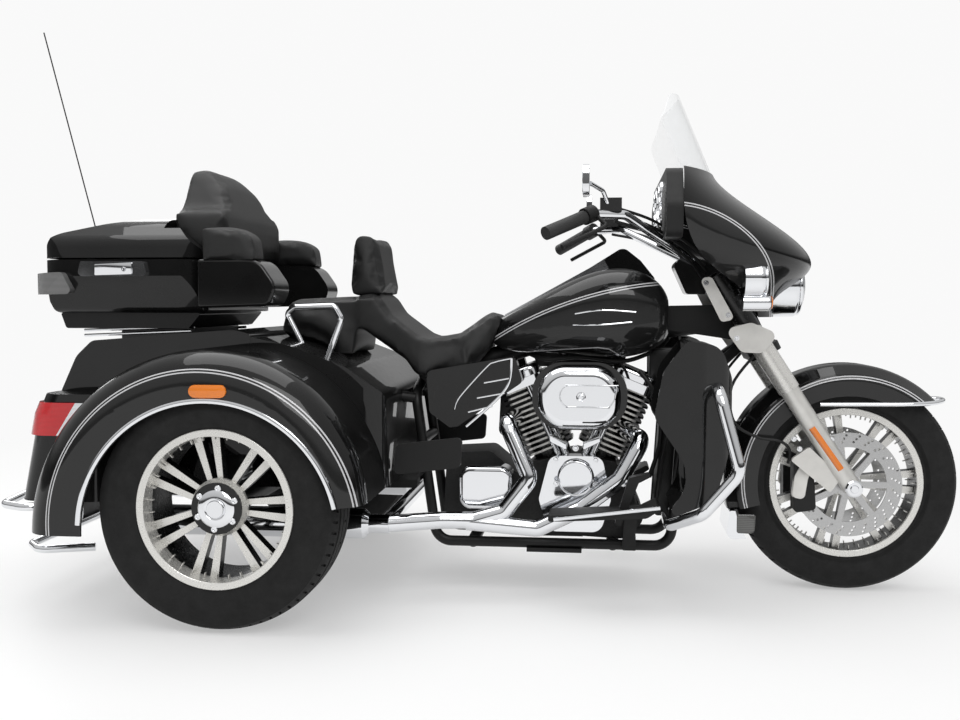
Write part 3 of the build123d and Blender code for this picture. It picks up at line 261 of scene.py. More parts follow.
def mirror_glass():
    """Silvered glass."""
    s = Shader("mirror_glass", base_color=(0.75, 0.78, 0.80, 1.0), metallic=1.0)
    s.set(roughness=s.noise(10.0, 2.0) * 0.02 + 0.01)
    return s


def satin_silver():
    """Silver lacquer on cast aluminium, with a fine cast grain."""
    s = Shader("satin_silver", metallic=0.55)
    grain = s.noise(900.0, 2.0)
    s.set(base_color=s.ramp(s.noise(25.0, 3.0), [(0.3, SILVER_LOW), (0.8, SILVER_HIGH)]))
    s.set(roughness=grain * 0.14 + 0.26)
    return s.bump(grain, 0.12, 0.0004)


def satin_black():
    """Satin black coating on the frame and castings."""
    s = Shader("satin_black", base_color=grey(0.008), specular_ior_level=0.3)
    grain = s.noise(1300.0, 2.0)
    s.set(roughness=s.noise(30.0, 3.0) * 0.18 + 0.34)
    return s.bump(grain, 0.20, 0.0003)


def crackle_black():
    """Wrinkled black coating on the engine's castings."""
    s = Shader("crackle_black", specular_ior_level=0.3)
    wrinkle = s.cells(420.0)
    s.set(base_color=s.ramp(wrinkle, [(0.1, grey(0.014)), (0.7, grey(0.007))]))
    s.set(roughness=wrinkle * 0.25 + 0.42)
    return s.bump(wrinkle, 0.35, 0.0005)


def tyre_rubber():
    """Black rubber, greyer where it is scuffed."""
    s = Shader("tyre_rubber", specular_ior_level=0.25)
    dust = s.noise(38.0, 5.0, 0.62)
    s.set(base_color=s.ramp(dust, [(0.3, grey(0.007)), (0.8, grey(0.015))]))
    s.set(roughness=s.noise(180.0, 3.0) * 0.16 + 0.62)
    return s.bump(s.noise(700.0, 3.0), 0.25, 0.0004)


def black_plastic():
    """Moulded black plastic with a pebbled skin."""
    s = Shader("black_plastic", base_color=grey(0.009), specular_ior_level=0.3)
    pebble = s.cells(1500.0)
    s.set(roughness=s.noise(45.0, 3.0) * 0.14 + 0.42)
    return s.bump(pebble, 0.18, 0.0003)


def leather():
    """Black grained seat cover, with softer sheen on its high grain."""
    s = Shader("seat_leather", specular_ior_level=0.4)
    grain = s.cells(950.0)
    soft = s.noise(12.0, 4.0)
    s.set(base_color=s.ramp(soft, [(0.3, grey(0.006)), (0.8, grey(0.012))]))
    s.set(roughness=grain * 0.20 + 0.38)
    return s.bump(grain + s.noise(300.0, 2.0) * 0.4, 0.45, 0.0008)


def grip_rubber():
    """Ribbed rubber of the grips."""
    s = Shader("grip_rubber", base_color=grey(0.018), roughness=0.62)
    return s.bump(s.noise(1200.0, 2.0), 0.3, 0.0003)


def clear_screen():
    """Clear polycarbonate that shows most where it is seen edge on."""
    s = Shader("clear_screen", base_color=(0.75, 0.78, 0.80, 1.0), roughness=0.04)
    rim = s.node("ShaderNodeLayerWeight", {}, 0.35, out=1)
    s.set(alpha=rim * 0.16 + s.noise(20.0, 2.0) * 0.02 + 0.02)
    return s


def lens(name, colour, period=160.0):
    """A coloured lamp lens with a fine prism pattern behind its gloss."""
    s = Shader(name, coat_weight=1.0, coat_roughness=0.02)
    bands = {"wave_type": "BANDS", "bands_direction": "Z"}
    prism = s.node("ShaderNodeTexWave", bands, s.place, Scale=period)
    darker = tuple(c * 0.55 for c in colour[:3]) + (1.0,)
    s.set(base_color=s.blend(prism, darker, colour))
    s.set(roughness=prism * 0.10 + 0.12)
    return s.bump(prism, 0.25, 0.001)


def lacquer(name):
    """A lacquered paint whose two tones and stripes are put on after."""
    s = Shader(name, coat_weight=0.7, coat_roughness=0.02, specular_ior_level=0.06)
    s.set(roughness=s.noise(60.0, 2.0) * 0.08 + 0.30)
    return s


def striped(name, x, z, radius):
    """Black outside a double pinstripe on a circle seen from the side, dark grey inside it."""
    s = lacquer(name)
    distance = s.ring(x, z, radius)
    flake = s.ramp(s.cells(FLAKE_SCALE), [(0.2, DARK_GREY), (0.8, DARKER_GREY)])
    paint = s.blend(distance > 0.0, flake, DEEP_BLACK)
    s.set(base_color=s.blend(s.pair(distance), paint, STRIPE_SILVER))
    return s


def tank_paint():
    """Black above the upper stripe and under the lower line, dark grey between them."""
    s = lacquer("tank_paint")
    upper = s.ring(0.6157, -0.1721, 1.0683)
    z = s.axis("Z")
    heights = [(0.0, 0.30), (0.4, 0.44), (0.62, 0.50), (0.70, 0.46), (0.85, 0.10)]
    level = s.ramp((s.axis("X") - 0.10) * 2.5, heights)
    lower = z - (level * 0.10 + 0.66)
    flake = s.ramp(s.cells(FLAKE_SCALE), [(0.2, DARK_GREY), (0.8, DARKER_GREY)])
    panel = (upper < 0.0) * (lower > 0.0)
    line = (abs(lower) < 0.0016) * (abs(s.axis("Y")) > 0.09)
    paint = s.blend(panel, DEEP_BLACK, flake)
    silver = s.node("ShaderNodeMath", {"operation": "MAXIMUM"}, s.pair(upper), line)
    s.set(base_color=s.blend(silver, paint, STRIPE_SILVER))
    return s


def masked_metal(name, bright, dark, mask_of):
    """Bright metal where a mask is 1 and a dark finish elsewhere."""
    s = Shader(name)
    mask = mask_of(s)
    s.set(base_color=s.blend(mask, dark, bright), metallic=mask * 0.6)
    s.set(roughness=s.noise(90.0, 3.0) * 0.12 + 0.22)
    return s


def masked_plate(name, mask_of):
    """Bright plating where a mask is 1 and gloss black elsewhere."""
    s = Shader(name)
    mask = mask_of(s)
    s.set(base_color=s.blend(mask, DEEP_BLACK, (0.80, 0.81, 0.83, 1.0)), metallic=mask * 1.0)
    s.set(roughness=s.noise(14.0, 5.0) * 0.10 + 0.03)
    return s


def lower_cover(s):
    """The fork covers' silver part, under the lamps."""
    return (s.axis("Z") < 0.775).clamped()


def console_rear(s):
    """The tank console behind its dark gauge."""
    return ((s.axis("X") - (0.90 - s.axis("Z")) * 0.55) < 0.400).clamped()


def front_cast(s):
    """The machined faces of the front wheel: outer spokes and the rim's lips."""
    side = abs(s.axis("Y"))
    distance = s.ring(FRONT_AXLE.x, FRONT_AXLE.z, 0.0)
    return ((side > 0.0162) * (distance < 0.197) + (side > 0.0452)).clamped()


def rear_cast(s):
    """The machined faces of the rear wheels, on their outer side."""
    side = abs(s.axis("Y"))
    return (side > 0.6052).clamped()


def fin_edges(s):
    """The machined edges of the cylinders' fins."""
    across = abs(s.axis("Y"))
    x, z = s.axis("X") - CRANK.x, s.axis("Z") - CRANK.z
    lean = abs(x) * math.cos(CYLINDER_LEAN) - z * math.sin(CYLINDER_LEAN)
    edge = ((across > 0.0725) + (abs(lean) > 0.0725)).clamped()
    return edge * (s.noise(30.0, 2.0) * 0.3 + 0.7)


def cleaner_shell(s):
    """The air cleaner's bright cover over its black plate."""
    return (s.axis("Y") < -0.236).clamped()


def drilled_disc():
    """Brake steel with rows of drilled holes."""
    s = Shader("drilled_disc", metallic=1.0)
    lathe = s.node("ShaderNodeTexWave", {"wave_type": "RINGS", "rings_direction": "Y"}, s.node(
        "ShaderNodeMapping", {}, s.place, (-FRONT_AXLE.x, 0.0, -FRONT_AXLE.z)), Scale=260.0)
    distance = s.ring(FRONT_AXLE.x, FRONT_AXLE.z, 0.0)
    s.set(base_color=s.ramp(lathe, [(0.2, grey(0.42)), (0.8, grey(0.56))]))
    s.set(roughness=lathe * 0.08 + 0.24)
    holes = None
    for spot, count, shift in ((0.1425, 24, 0.0), (0.1330, 24, 0.33), (0.1235, 24, 0.66)):
        turn = s.around(FRONT_AXLE.x, FRONT_AXLE.z, count)
        near = abs(turn - 0.2 - 0.6 * shift) * (math.tau / count * spot)
        away = distance - spot
        hole = ((near * near + away * away) ** 0.5) < 0.0034
        holes = hole if holes is None else holes + hole
    s.set(alpha=1.0 - holes.clamped())
    return s


def gauge_face():
    """A dark dial with scattered pale specks."""
    s = Shader("gauge_face", coat_weight=1.0)
    s.set(base_color=s.ramp(s.noise(500.0, 2.0), [(0.62, grey(0.012)), (0.70, grey(0.30))]))
    s.set(roughness=s.noise(40.0, 2.0) * 0.1 + 0.2)
    return s


def mesh_grille():
    """Black perforated steel."""
    s = Shader("mesh_grille")
    cell = s.cells(330.0)
    s.set(base_color=s.ramp(cell, [(0.3, grey(0.004)), (0.5, grey(0.06))]), roughness=cell * 0.2 + 0.4)
    return s.bump(cell, 0.5, 0.001)


def lamp_paint():
    """The rear lamps: red low on the body, smoked and ribbed on the top box."""
    s = Shader("rear_lamp_lens", coat_weight=0.6, coat_roughness=0.02)
    rib = s.node("ShaderNodeTexWave", {"wave_type": "BANDS", "bands_direction": "Z"}, s.place, Scale=95.0)
    x, z = s.axis("X"), s.axis("Z")
    red = s.blend(rib, (0.40, 0.002, 0.005, 1.0), (0.66, 0.006, 0.012, 1.0))
    smoke = s.blend(rib, grey(0.05), grey(0.22))
    bezel = ((x - (z - 0.566) * 0.63) > -1.030) * (z < 0.7)
    lens_colour = s.blend(z > 0.7, red, smoke)
    s.set(base_color=s.blend(bezel, lens_colour, (0.80, 0.81, 0.83, 1.0)), metallic=bezel)
    s.set(roughness=rib * 0.08 + 0.10)
    return s.bump(rib, 0.3, 0.002)


MATERIALS = {
    "gloss_black": gloss_black().material,
    "chrome": chrome().material,
    "satin_silver": satin_silver().material,
    "satin_black": satin_black().material,
    "crackle_black": crackle_black().material,
    "tyre_rubber": tyre_rubber().material,
    "black_plastic": black_plastic().material,
    "leather": leather().material,
    "grip_rubber": grip_rubber().material,
    "clear_screen": clear_screen().material,
    "red_lens": lens("red_lens", (0.42, 0.010, 0.012, 1.0)).material,
    "tank_paint": tank_paint().material,
    "rear_fender_paint": striped("rear_fender_paint", -0.633, 0.275, 0.395).material,
    "front_fender_paint": striped("front_fender_paint", 1.070, 0.3224, 0.3027).material,
    "fairing_paint": striped("fairing_paint", 0.5494, 0.8001, 0.2954).material,
    "front_cast": masked_metal("front_cast", SILVER_HIGH, DEEP_BLACK, front_cast).material,
    "rear_cast": masked_metal("rear_cast", SILVER_HIGH, DEEP_BLACK, rear_cast).material,
    "finned_black": masked_metal("finned_black", SILVER_HIGH, DEEP_BLACK, fin_edges).material,
    "fork_cover": masked_metal("fork_cover", SILVER_HIGH, DEEP_BLACK, lower_cover).material,
    "console": masked_plate("console", console_rear).material,
    "cleaner_shell": masked_plate("cleaner_shell", cleaner_shell).material,
    "drilled_disc": drilled_disc().material,
    "gauge_face": gauge_face().material,
    "mesh_grille": mesh_grille().material,
    "rear_lamp_lens": lamp_paint().material,
    "amber_lens": lens("amber_lens", (0.95, 0.24, 0.004, 1.0)).material,
    "mirror_glass": mirror_glass().material,
    "smoked_panel": lens("smoked_panel", (0.10, 0.10, 0.095, 1.0), 60.0).material,
    "clear_lens": lens("clear_lens", (0.72, 0.74, 0.76, 1.0)).material,
}

# Each finish and the frame's nodes that keep their own shape and take it
NODE_FINISHES = {
    "gloss_black": [
        "side_covers", "trunk_body", "trunk_door", "top_box_base", "top_box_lid", "lower_fairings",
        "speaker_pods", "fork_shroud",
    ],
    "tank_paint": ["fuel_tank"],
    "rear_fender_paint": ["rear_fenders"],
    "front_fender_paint": ["front_fender"],
    "fairing_paint": ["handlebar_fairing"],
    "satin_black": ["frame", "rear_axle_housing", "fork_bridges", "plate_bracket", "antenna"],
    "crackle_black": ["engine_case"],
    "finned_black": ["cylinders"],
    "chrome": [
        "rocker_covers", "engine_covers", "exhaust_system", "rear_bumper",
        "box_latch", "grab_rails", "engine_guard", "handlebar", "headlamp", "passing_lamps", "fender_flap",
        "mirrors",
    ],
    "cleaner_shell": ["air_cleaner"],
    "front_cast": ["front_wheel"],
    "rear_cast": ["rear_wheel_left", "rear_wheel_right"],
    "drilled_disc": ["front_discs"],
    "satin_silver": ["fork_legs"],
    "fork_cover": ["fork_covers"],
    "console": ["tank_console"],
    "tyre_rubber": ["front_tyre", "rear_tyre_left", "rear_tyre_right"],
    "leather": ["seat", "rider_backrest", "passenger_backrest", "armrests"],
    "black_plastic": [
        "dash_panel", "passenger_footboards", "foot_controls", "brake_calipers", "hand_controls",
    ],
    "grip_rubber": ["hand_grips"],
    "clear_screen": ["windshield"],
    "rear_lamp_lens": ["rear_lamps"],
}


def dress_nodes():
    """Gives every node of the frame its finish."""
    for finish, names in NODE_FINISHES.items():
        for name in names:
            mesh = nodes[name].data
            mesh.materials.clear()
            mesh.materials.append(MATERIALS[finish])


def finished(bm, name, finish, body="chassis", sharp=0.6, smooth=True):
    """A mesh object at the origin from a bmesh, smooth with sharp edges kept past an angle."""
    bmesh.ops.remove_doubles(bm, verts=bm.verts[:], dist=1e-6)
    bmesh.ops.recalc_face_normals(bm, faces=bm.faces[:])
    mesh = bpy.data.meshes.new(name)
    bm.to_mesh(mesh)
    bm.free()
    piece = bpy.data.objects.new(name, mesh)
    bpy.context.scene.collection.objects.link(piece)
    if finish:
        mesh.materials.append(MATERIALS[finish])
    for face in mesh.polygons:
        face.use_smooth = smooth
    if smooth and sharp:
        mesh.set_sharp_from_angle(angle=sharp)
    if body:
        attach(piece, body)
    return piece


def rounded(corners, steps=5):
    """Points along an outline whose corners are arcs: rows of (u, v, corner radius)."""
    points = []
    for n, (u, v, radius) in enumerate(corners):
        corner = Vector((u, v))
        back = Vector(corners[n - 1][:2]) - corner
        ahead = Vector(corners[(n + 1) % len(corners)][:2]) - corner
        half = back.angle(ahead) / 2
        reach = min(radius / math.tan(half), 0.49 * back.length, 0.49 * ahead.length)
        if reach < 1e-5 or half > math.pi / 2 - 0.01:
            points.append(corner)
            continue
        fitted = reach * math.tan(half)
        middle = corner + (back.normalized() + ahead.normalized()).normalized() * (fitted / math.sin(half))
        first = corner + back.normalized() * reach - middle
        last = corner + ahead.normalized() * reach - middle
        start = math.atan2(first.y, first.x)
        turn = (math.atan2(last.y, last.x) - start + math.pi) % math.tau - math.pi
        for k in range(steps + 1):
            angle = start + turn * k / steps
            points.append(middle + Vector((math.cos(angle), math.sin(angle))) * fitted)
    return points


PLACES = {
    "side": lambda u, v, w: Vector((u, w, v)),
    "front": lambda u, v, w: Vector((w, u, v)),
    "plan": lambda u, v, w: Vector((u, v, w)),
}


def slab(bm, corners, low, high, face="side", edge=0.0015):
    """A plate with eased edges, from a rounded outline seen from one side, between two depths."""
    place = PLACES[face]
    rings = [[bm.verts.new(place(p.x, p.y, depth)) for p in rounded(corners)] for depth in (low, high)]
    caps = [bm.faces.new(ring) for ring in rings]
    rims = [e for cap in caps for e in cap.edges]
    bmesh.ops.bridge_loops(bm, edges=rims)
    if edge:
        bmesh.ops.bevel(bm, geom=rims, offset=edge, segments=2, profile=0.5, affect="EDGES", material=-1)


def smooth_path(points, steps=6):
    """Points along a smooth curve through the given ones."""
    points = [Vector(p) for p in points]
    if len(points) < 3:
        return points
    path = []
    for n in range(len(points) - 1):
        before, a = points[max(n - 1, 0)], points[n]
        b, after = points[n + 1], points[min(n + 2, len(points) - 1)]
        for k in range(steps):
            t = k / steps
            path.append(0.5 * (2 * a + (b - before) * t + (2 * before - 5 * a + 4 * b - after) * t ** 2
                               + (3 * a - before - 3 * b + after) * t ** 3))
    return path + [points[-1]]


def swept(bm, points, radius, sides=10, flat=1.0):
    """A bar along a smooth curve with closed ends; flat below 1 squeezes it sideways."""
    path = smooth_path(points)
    rings = []
    for n, point in enumerate(path):
        along = (path[min(n + 1, len(path) - 1)] - path[max(n - 1, 0)]).normalized()
        turn = along.to_track_quat("Z", "Y").to_matrix().to_4x4()
        made = bmesh.ops.create_circle(bm, cap_ends=n in (0, len(path) - 1), radius=radius, segments=sides,
                                       matrix=Matrix.Translation(point) @ turn)
        for v in made["verts"]:
            v.co.y = point.y + (v.co.y - point.y) * flat
        rings.append(list({e for v in made["verts"] for e in v.link_edges}))
    for a, b in zip(rings, rings[1:]):
        bmesh.ops.bridge_loops(bm, edges=a + b)


def spun(bm, centre, axis, profile, segments=40):
    """A turned form about an axis through a centre: rows of (distance along the axis, radius)."""
    axis, centre = Vector(axis).normalized(), Vector(centre)
    across = axis.orthogonal().normalized()
    verts = [bm.verts.new(centre + axis * along + across * radius) for along, radius in profile]
    edges = [bm.edges.new(pair) for pair in zip(verts, verts[1:])]
    bmesh.ops.spin(bm, geom=verts + edges, cent=centre, axis=axis, angle=math.tau, steps=segments,
                   use_merge=True)


def bolt(bm, spot, axis, radius):
    """A socket-headed bolt on its washer."""
    spun(bm, spot, axis, [
        (-0.002, radius * 1.35), (0.001, radius * 1.35), (0.001, radius), (radius * 0.7, radius),
        (radius * 0.85, radius * 0.85), (radius * 0.85, radius * 0.5), (radius * 0.35, radius * 0.45),
        (radius * 0.35, 0.0)], 14)


def joined(name, finish, rows, make, body="chassis", sharp=0.6):
    """One object from many like forms: each row is passed to the function that makes the form."""
    bm = bmesh.new()
    for row in rows:
        make(bm, *row)
    return finished(bm, name, finish, body, sharp)


def tyre_rows(radius, width, bead_r, bead_half, tread_rows):
    """A tyre's cross-section from its right bead over the crown to the left one, as (radius, y)."""
    half, wall = width / 2, radius - bead_r
    side = [
        (bead_r + 0.002, -bead_half), (bead_r + 0.012, -bead_half - 0.001),
        (bead_r + 0.020, -bead_half - 0.004), (bead_r + wall * 0.26, -half * 0.93),
        (bead_r + wall * 0.38, -half * 0.985), (bead_r + wall * 0.46, -half),
        (bead_r + wall * 0.49, -half - 0.0008), (bead_r + wall * 0.52, -half),
        (bead_r + wall * 0.64, -half * 0.99), (bead_r + wall * 0.76, -half * 0.95),
    ]
    crown = []
    for n in range(tread_rows + 1):
        y = half * (-0.88 + 1.76 * n / tread_rows)
        share = max(abs(y) / half - 0.30, 0.0) / 0.58
        crown.append((radius - 0.0015 - wall * 0.13 * share ** 2.0, y))
    return side + crown + [(r, -y) for r, y in reversed(side)]


def treaded_tyre(name, node, body, centre, sizes, repeats, is_groove):
    """A tyre with grooves pressed into its tread, repeated all the way round."""
    radius, width, bead_r, bead_half, tread_rows, slant = sizes
    rows = tyre_rows(radius, width, bead_r, bead_half, tread_rows)
    columns = repeats * TREAD_STEPS
    bm = bmesh.new()
    bmesh.ops.create_grid(bm, x_segments=columns, y_segments=len(rows) - 1, size=1.0)
    first = (len(rows) - tread_rows - 1) // 2
    pressed = []
    for face in bm.faces:
        middle = face.calc_center_median()
        column = int((middle.x + 1) / 2 * columns)
        row = int((middle.y + 1) / 2 * (len(rows) - 1)) - first
        if 0 <= row < tread_rows and is_groove(column % TREAD_STEPS, row):
            pressed.append(face)
    for v in bm.verts:
        distance, y = rows[round((v.co.y + 1) / 2 * (len(rows) - 1))]
        turn = (v.co.x + 1) / 2 * math.tau + slant * abs(y) / distance
        v.co = (centre.x + distance * math.cos(turn), centre.y + y, centre.z + distance * math.sin(turn))
    bmesh.ops.remove_doubles(bm, verts=bm.verts[:], dist=1e-5)
    bmesh.ops.recalc_face_normals(bm, faces=bm.faces[:])
    bmesh.ops.inset_region(bm, faces=[f for f in pressed if f.is_valid], thickness=0.0008, depth=-0.0045,
                           use_boundary=True, use_even_offset=True)
    piece = finished(bm, name, "tyre_rubber", body, 0.5)
    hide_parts(node)
    return piece


TREAD_STEPS = 8


def front_groove(column, row):
    """Slanted grooves in turn over the front tyre's crown and shoulders."""
    return (row in (1, 2, 3, 4, 5) and column == 1) or (row in (6, 7) and column in (1, 2, 3)) or (
        row in (9, 10) and column in (5, 6)) or (row in (12, 13) and column in (1, 2, 3)) or (
        row in (14, 15, 16, 17, 18) and column == 5)


def rear_groove(column, row):
    """Four grooves round the rear tyre with short cuts across its shoulders."""
    return row in (5, 9, 14, 18) or (row in (1, 2, 3) and column in (1, 5)) or (
        row in (20, 21, 22) and column in (3, 7)) or (row in (11, 12) and column == 2)


def tyres():
    """The three tyres, with their tread."""
    treaded_tyre("front_tyre_treaded", "front_tyre", "front_wheel", FRONT_AXLE,
                 (0.316, 0.130, 0.205, 0.046, 20, 0.5), 42, front_groove)
    for side, sign in (("right", -1), ("left", 1)):
        centre = Vector((REAR_AXLE.x, sign * REAR_WHEEL_Y, REAR_AXLE.z))
        treaded_tyre(f"rear_tyre_{side}_treaded", f"rear_tyre_{side}", f"rear_wheel_{side}", centre,
                     (0.318, 0.209, 0.192, 0.088, 24, 0.25), 34, rear_groove)


def padded_copy(name, node, body, start_in, cap, voxel, rounds):
    """A padded piece: the node's shape rounded off, blown up as cloth between limits, and made finer."""
    source = nodes[node].data
    bm = bmesh.new()
    bm.from_mesh(source)
    bmesh.ops.remove_doubles(bm, verts=bm.verts[:], dist=1e-5)
    piece = finished(bm, name, "leather", body, 0.0)
    remesh = piece.modifiers.new("voxels", "REMESH")
    remesh.mode, remesh.voxel_size, remesh.use_smooth_shade = "VOXEL", voxel, True
    applied(piece)
    bm = bmesh.new()
    bm.from_mesh(piece.data)
    for _ in range(rounds):
        bmesh.ops.smooth_vert(bm, verts=bm.verts[:], factor=0.5, use_axis_x=True, use_axis_y=True,
                              use_axis_z=True)
    bm.normal_update()
    shift = [(v, v.normal.copy()) for v in bm.verts]
    for v, normal in shift:
        v.co -= normal * start_in
    bm.to_mesh(piece.data)
    bm.free()
    start = [v.co.copy() for v in piece.data.vertices]
    cloth = piece.modifiers.new("filling", "CLOTH")
    cloth.settings.use_pressure = True
    cloth.settings.uniform_pressure_force = 4.0
    cloth.settings.effector_weights.gravity = 0.0
    for moment in range(1, 16):
        bpy.context.scene.frame_set(moment)
    applied(piece)
    bpy.context.scene.frame_set(1)
    for v, before in zip(piece.data.vertices, start):
        move = v.co - before
        if move.length > cap:
            v.co = before + move * (cap / move.length)
    bm = bmesh.new()
    bm.from_mesh(piece.data)
    bmesh.ops.smooth_vert(bm, verts=bm.verts[:], factor=0.5, use_axis_x=True, use_axis_y=True,
                          use_axis_z=True)
    bmesh.ops.subdivide_edges(bm, edges=bm.edges[:], cuts=1, use_grid_fill=True, smooth=0.6)
    bm.to_mesh(piece.data)
    bm.free()
    for face in piece.data.polygons:
        face.use_smooth = True
    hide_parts(node)
    return piece


def applied(piece):
    """Turns a piece's modifiers into its own mesh."""
    graph = bpy.context.evaluated_depsgraph_get()
    made = bpy.data.meshes.new_from_object(piece.evaluated_get(graph), depsgraph=graph)
    piece.modifiers.clear()
    old = piece.data
    piece.data = made
    bpy.data.meshes.remove(old)


def padding():
    """The seat, both backrests and the armrests."""
    padded_copy("seat_padded", "seat", "chassis", 0.004, 0.009, 0.009, 3)
    padded_copy("rider_backrest_padded", "rider_backrest", "chassis", 0.004, 0.008, 0.007, 3)
    padded_copy("passenger_backrest_padded", "passenger_backrest", "chassis", 0.005, 0.010, 0.010, 3)
    padded_copy("armrests_padded", "armrests", "chassis", 0.003, 0.006, 0.007, 2)


def arc(x, z, radius, start_deg, end_deg, y, count=28):
    """Points on a circle in a side plane, between two angles from +X up."""
    turns = [math.radians(start_deg + (end_deg - start_deg) * n / count) for n in range(count + 1)]
    return [(x + radius * math.cos(t), y, z + radius * math.sin(t)) for t in turns]


def trims():
    """Bright trim, markers and reflectors on the body and the front fender."""
    lips = [(arc(-0.613, 0.262, 0.334, 12.5, 177, s * 0.6955, 30), 0.0072, 10, 0.7) for s in (-1, 1)]
    joined("rear_lip_trim", "chrome", lips, swept)
    marker = [(-0.651, 0.604, 0.016), (-0.556, 0.604, 0.016), (-0.556, 0.636, 0.016), (-0.651, 0.636, 0.016)]
    joined("side_markers", "amber_lens", [(marker, s * 0.693, s * 0.7025) for s in (-1, 1)], slab)
    bow = [(0.980, -0.096, 0.5475), (1.08, -0.0975, 0.549), (1.20, -0.097, 0.550), (1.275, -0.090, 0.552),
           (1.318, -0.060, 0.555), (1.338, -0.024, 0.557)]
    loop = bow + [(x, -y, z) for x, y, z in reversed(bow)]
    joined("fender_trim", "chrome", [(loop, 0.0065, 12, 1.0)], swept, "steering")
    strips = [([(x0, s * 0.243, z0), (x1, s * 0.243, z1)], 0.0045, 10, 1.0)
              for s in (-1, 1)
              for x0, z0, x1, z1 in ((-1.143, 0.757, -0.81, 0.768), (-1.143, 0.742, -0.82, 0.756))]
    joined("plinth_strips", "chrome", strips, swept)
    bars = [([(0.948, s * 0.1475, 0.487), (1.029, s * 0.1475, 0.370)], 0.0100, 14, 1.0) for s in (-1, 1)]
    joined("fork_reflectors", "amber_lens", bars, swept, "steering")


def side_cover_trim():
    """The bright outline and three bars on each side cover."""
    outline = [(-0.062, 0.530), (-0.046, 0.566), (0.030, 0.651), (0.055, 0.667), (0.1035, 0.678)]
    lower = [(0.1035, 0.678), (0.102, 0.640), (0.094, 0.604), (0.070, 0.570), (0.020, 0.522),
             (-0.028, 0.480)]
    bars = [((0.024, 0.607), (0.099, 0.621)), ((0.004, 0.563), (0.083, 0.578)),
            ((-0.022, 0.522), (0.048, 0.540))]
    rows = []
    for s in (-1, 1):
        rows.append(([(x, s * 0.1725, z) for x, z in outline], 0.0022, 8, 1.0))
        rows.append(([(x, s * 0.1725, z) for x, z in lower], 0.0042, 8, 0.8))
        rows += [([(a[0], s * 0.1725, a[1]), (b[0], s * 0.1725, b[1])], 0.0026, 8, 1.0) for a, b in bars]
    joined("side_cover_trim", "chrome", rows, swept)


def lamp_lenses():
    """The headlamp's glass and the passing lamps' lenses, each with its ring, and the turn signals' lenses.
    """
    def dome(bm, centre, radius, rise):
        rows = [(rise * math.cos(math.radians(a)), radius * math.sin(math.radians(a)))
                for a in range(0, 91, 10)]
        spun(bm, centre, (1, 0, 0), rows, 48)

    def band(bm, centre, radius, size):
        rows = [(size * math.cos(math.radians(a)), radius + size * math.sin(math.radians(a)))
                for a in range(0, 361, 30)]
        spun(bm, centre, (1, 0, 0), rows, 48)

    joined("headlamp_glass", "clear_lens", [((0.925, 0, 0.884), 0.074, 0.022)], dome, "steering")
    joined("headlamp_ring", "chrome", [((0.926, 0, 0.884), 0.078, 0.006)], band, "steering")
    pods = [((0.803, s * 0.218, 0.905), 0.046, 0.010) for s in (-1, 1)]
    joined("passing_lamp_glass", "clear_lens", pods, dome, "steering")
    rings = [((0.803, s * 0.218, 0.905), 0.047, 0.004) for s in (-1, 1)]
    joined("passing_lamp_rings", "chrome", rings, band, "steering")
    signals = [((0.819, s * 0.225, 0.838), 0.019, 0.006) for s in (-1, 1)]
    joined("signal_lenses", "amber_lens", signals, dome, "steering")


def fork_details():
    """The fork's bell pieces, brackets and bolts, the axle caps and the caliper plates."""
    bell = [(0.712, 0.760, 0.012), (0.775, 0.776, 0.02), (0.842, 0.748, 0.014), (0.805, 0.702, 0.02),
            (0.752, 0.704, 0.02)]
    bracket = [(0.634, 0.905, 0.012), (0.664, 0.908, 0.012), (0.728, 0.792, 0.010), (0.694, 0.785, 0.010)]
    rows = []
    for s in (-1, 1):
        rows.append((bell, s * 0.138, s * 0.166, "side", 0.006))
        rows.append((bracket, s * 0.157, s * 0.164, "side", 0.002))
    joined("fork_bells", "satin_silver", rows, slab, "steering")
    plate = [(0.936, 0.398, 0.014), (0.908, 0.345, 0.02), (0.900, 0.284, 0.014), (0.936, 0.276, 0.014),
             (0.945, 0.335, 0.03), (0.962, 0.384, 0.014)]
    plates = [(plate, s * 0.112, s * 0.1205) for s in (-1, 1)]
    joined("caliper_plates", "satin_silver", plates, slab, "steering")
    cap = [(0.0, 0.024), (0.010, 0.024), (0.014, 0.020), (0.014, 0.012), (0.018, 0.010), (0.018, 0.0)]
    caps = [((1.065, s * 0.146, 0.316), (0, s, 0), cap, 32) for s in (-1, 1)]
    joined("axle_caps", "chrome", caps, spun, "steering")
    spots = [(0.736, 0.166, 0.738), (0.650, 0.164, 0.893), (0.712, 0.164, 0.803), (0.902, 0.135, 0.452),
             (0.918, 0.135, 0.424), (1.005, 0.135, 0.452)]
    rows = [((x, s * y, z), (0, s, 0), 0.0055) for x, y, z in spots for s in (-1, 1)]
    joined("fork_bolts", "chrome", rows, bolt, "steering")
    hoses = [[(0.795, 0.128, 0.695), (0.728, 0.13, 0.60), (0.735, 0.13, 0.50), (0.80, 0.13, 0.456),
              (0.862, 0.128, 0.446), (0.892, 0.125, 0.42), (0.890, 0.115, 0.380)]]
    rows = [([(x, s * y, z) for x, y, z in hose], LINE_RADIUS, 8, 1.0) for hose in hoses for s in (-1, 1)]
    joined("brake_hoses", "black_plastic", rows, swept, "steering")


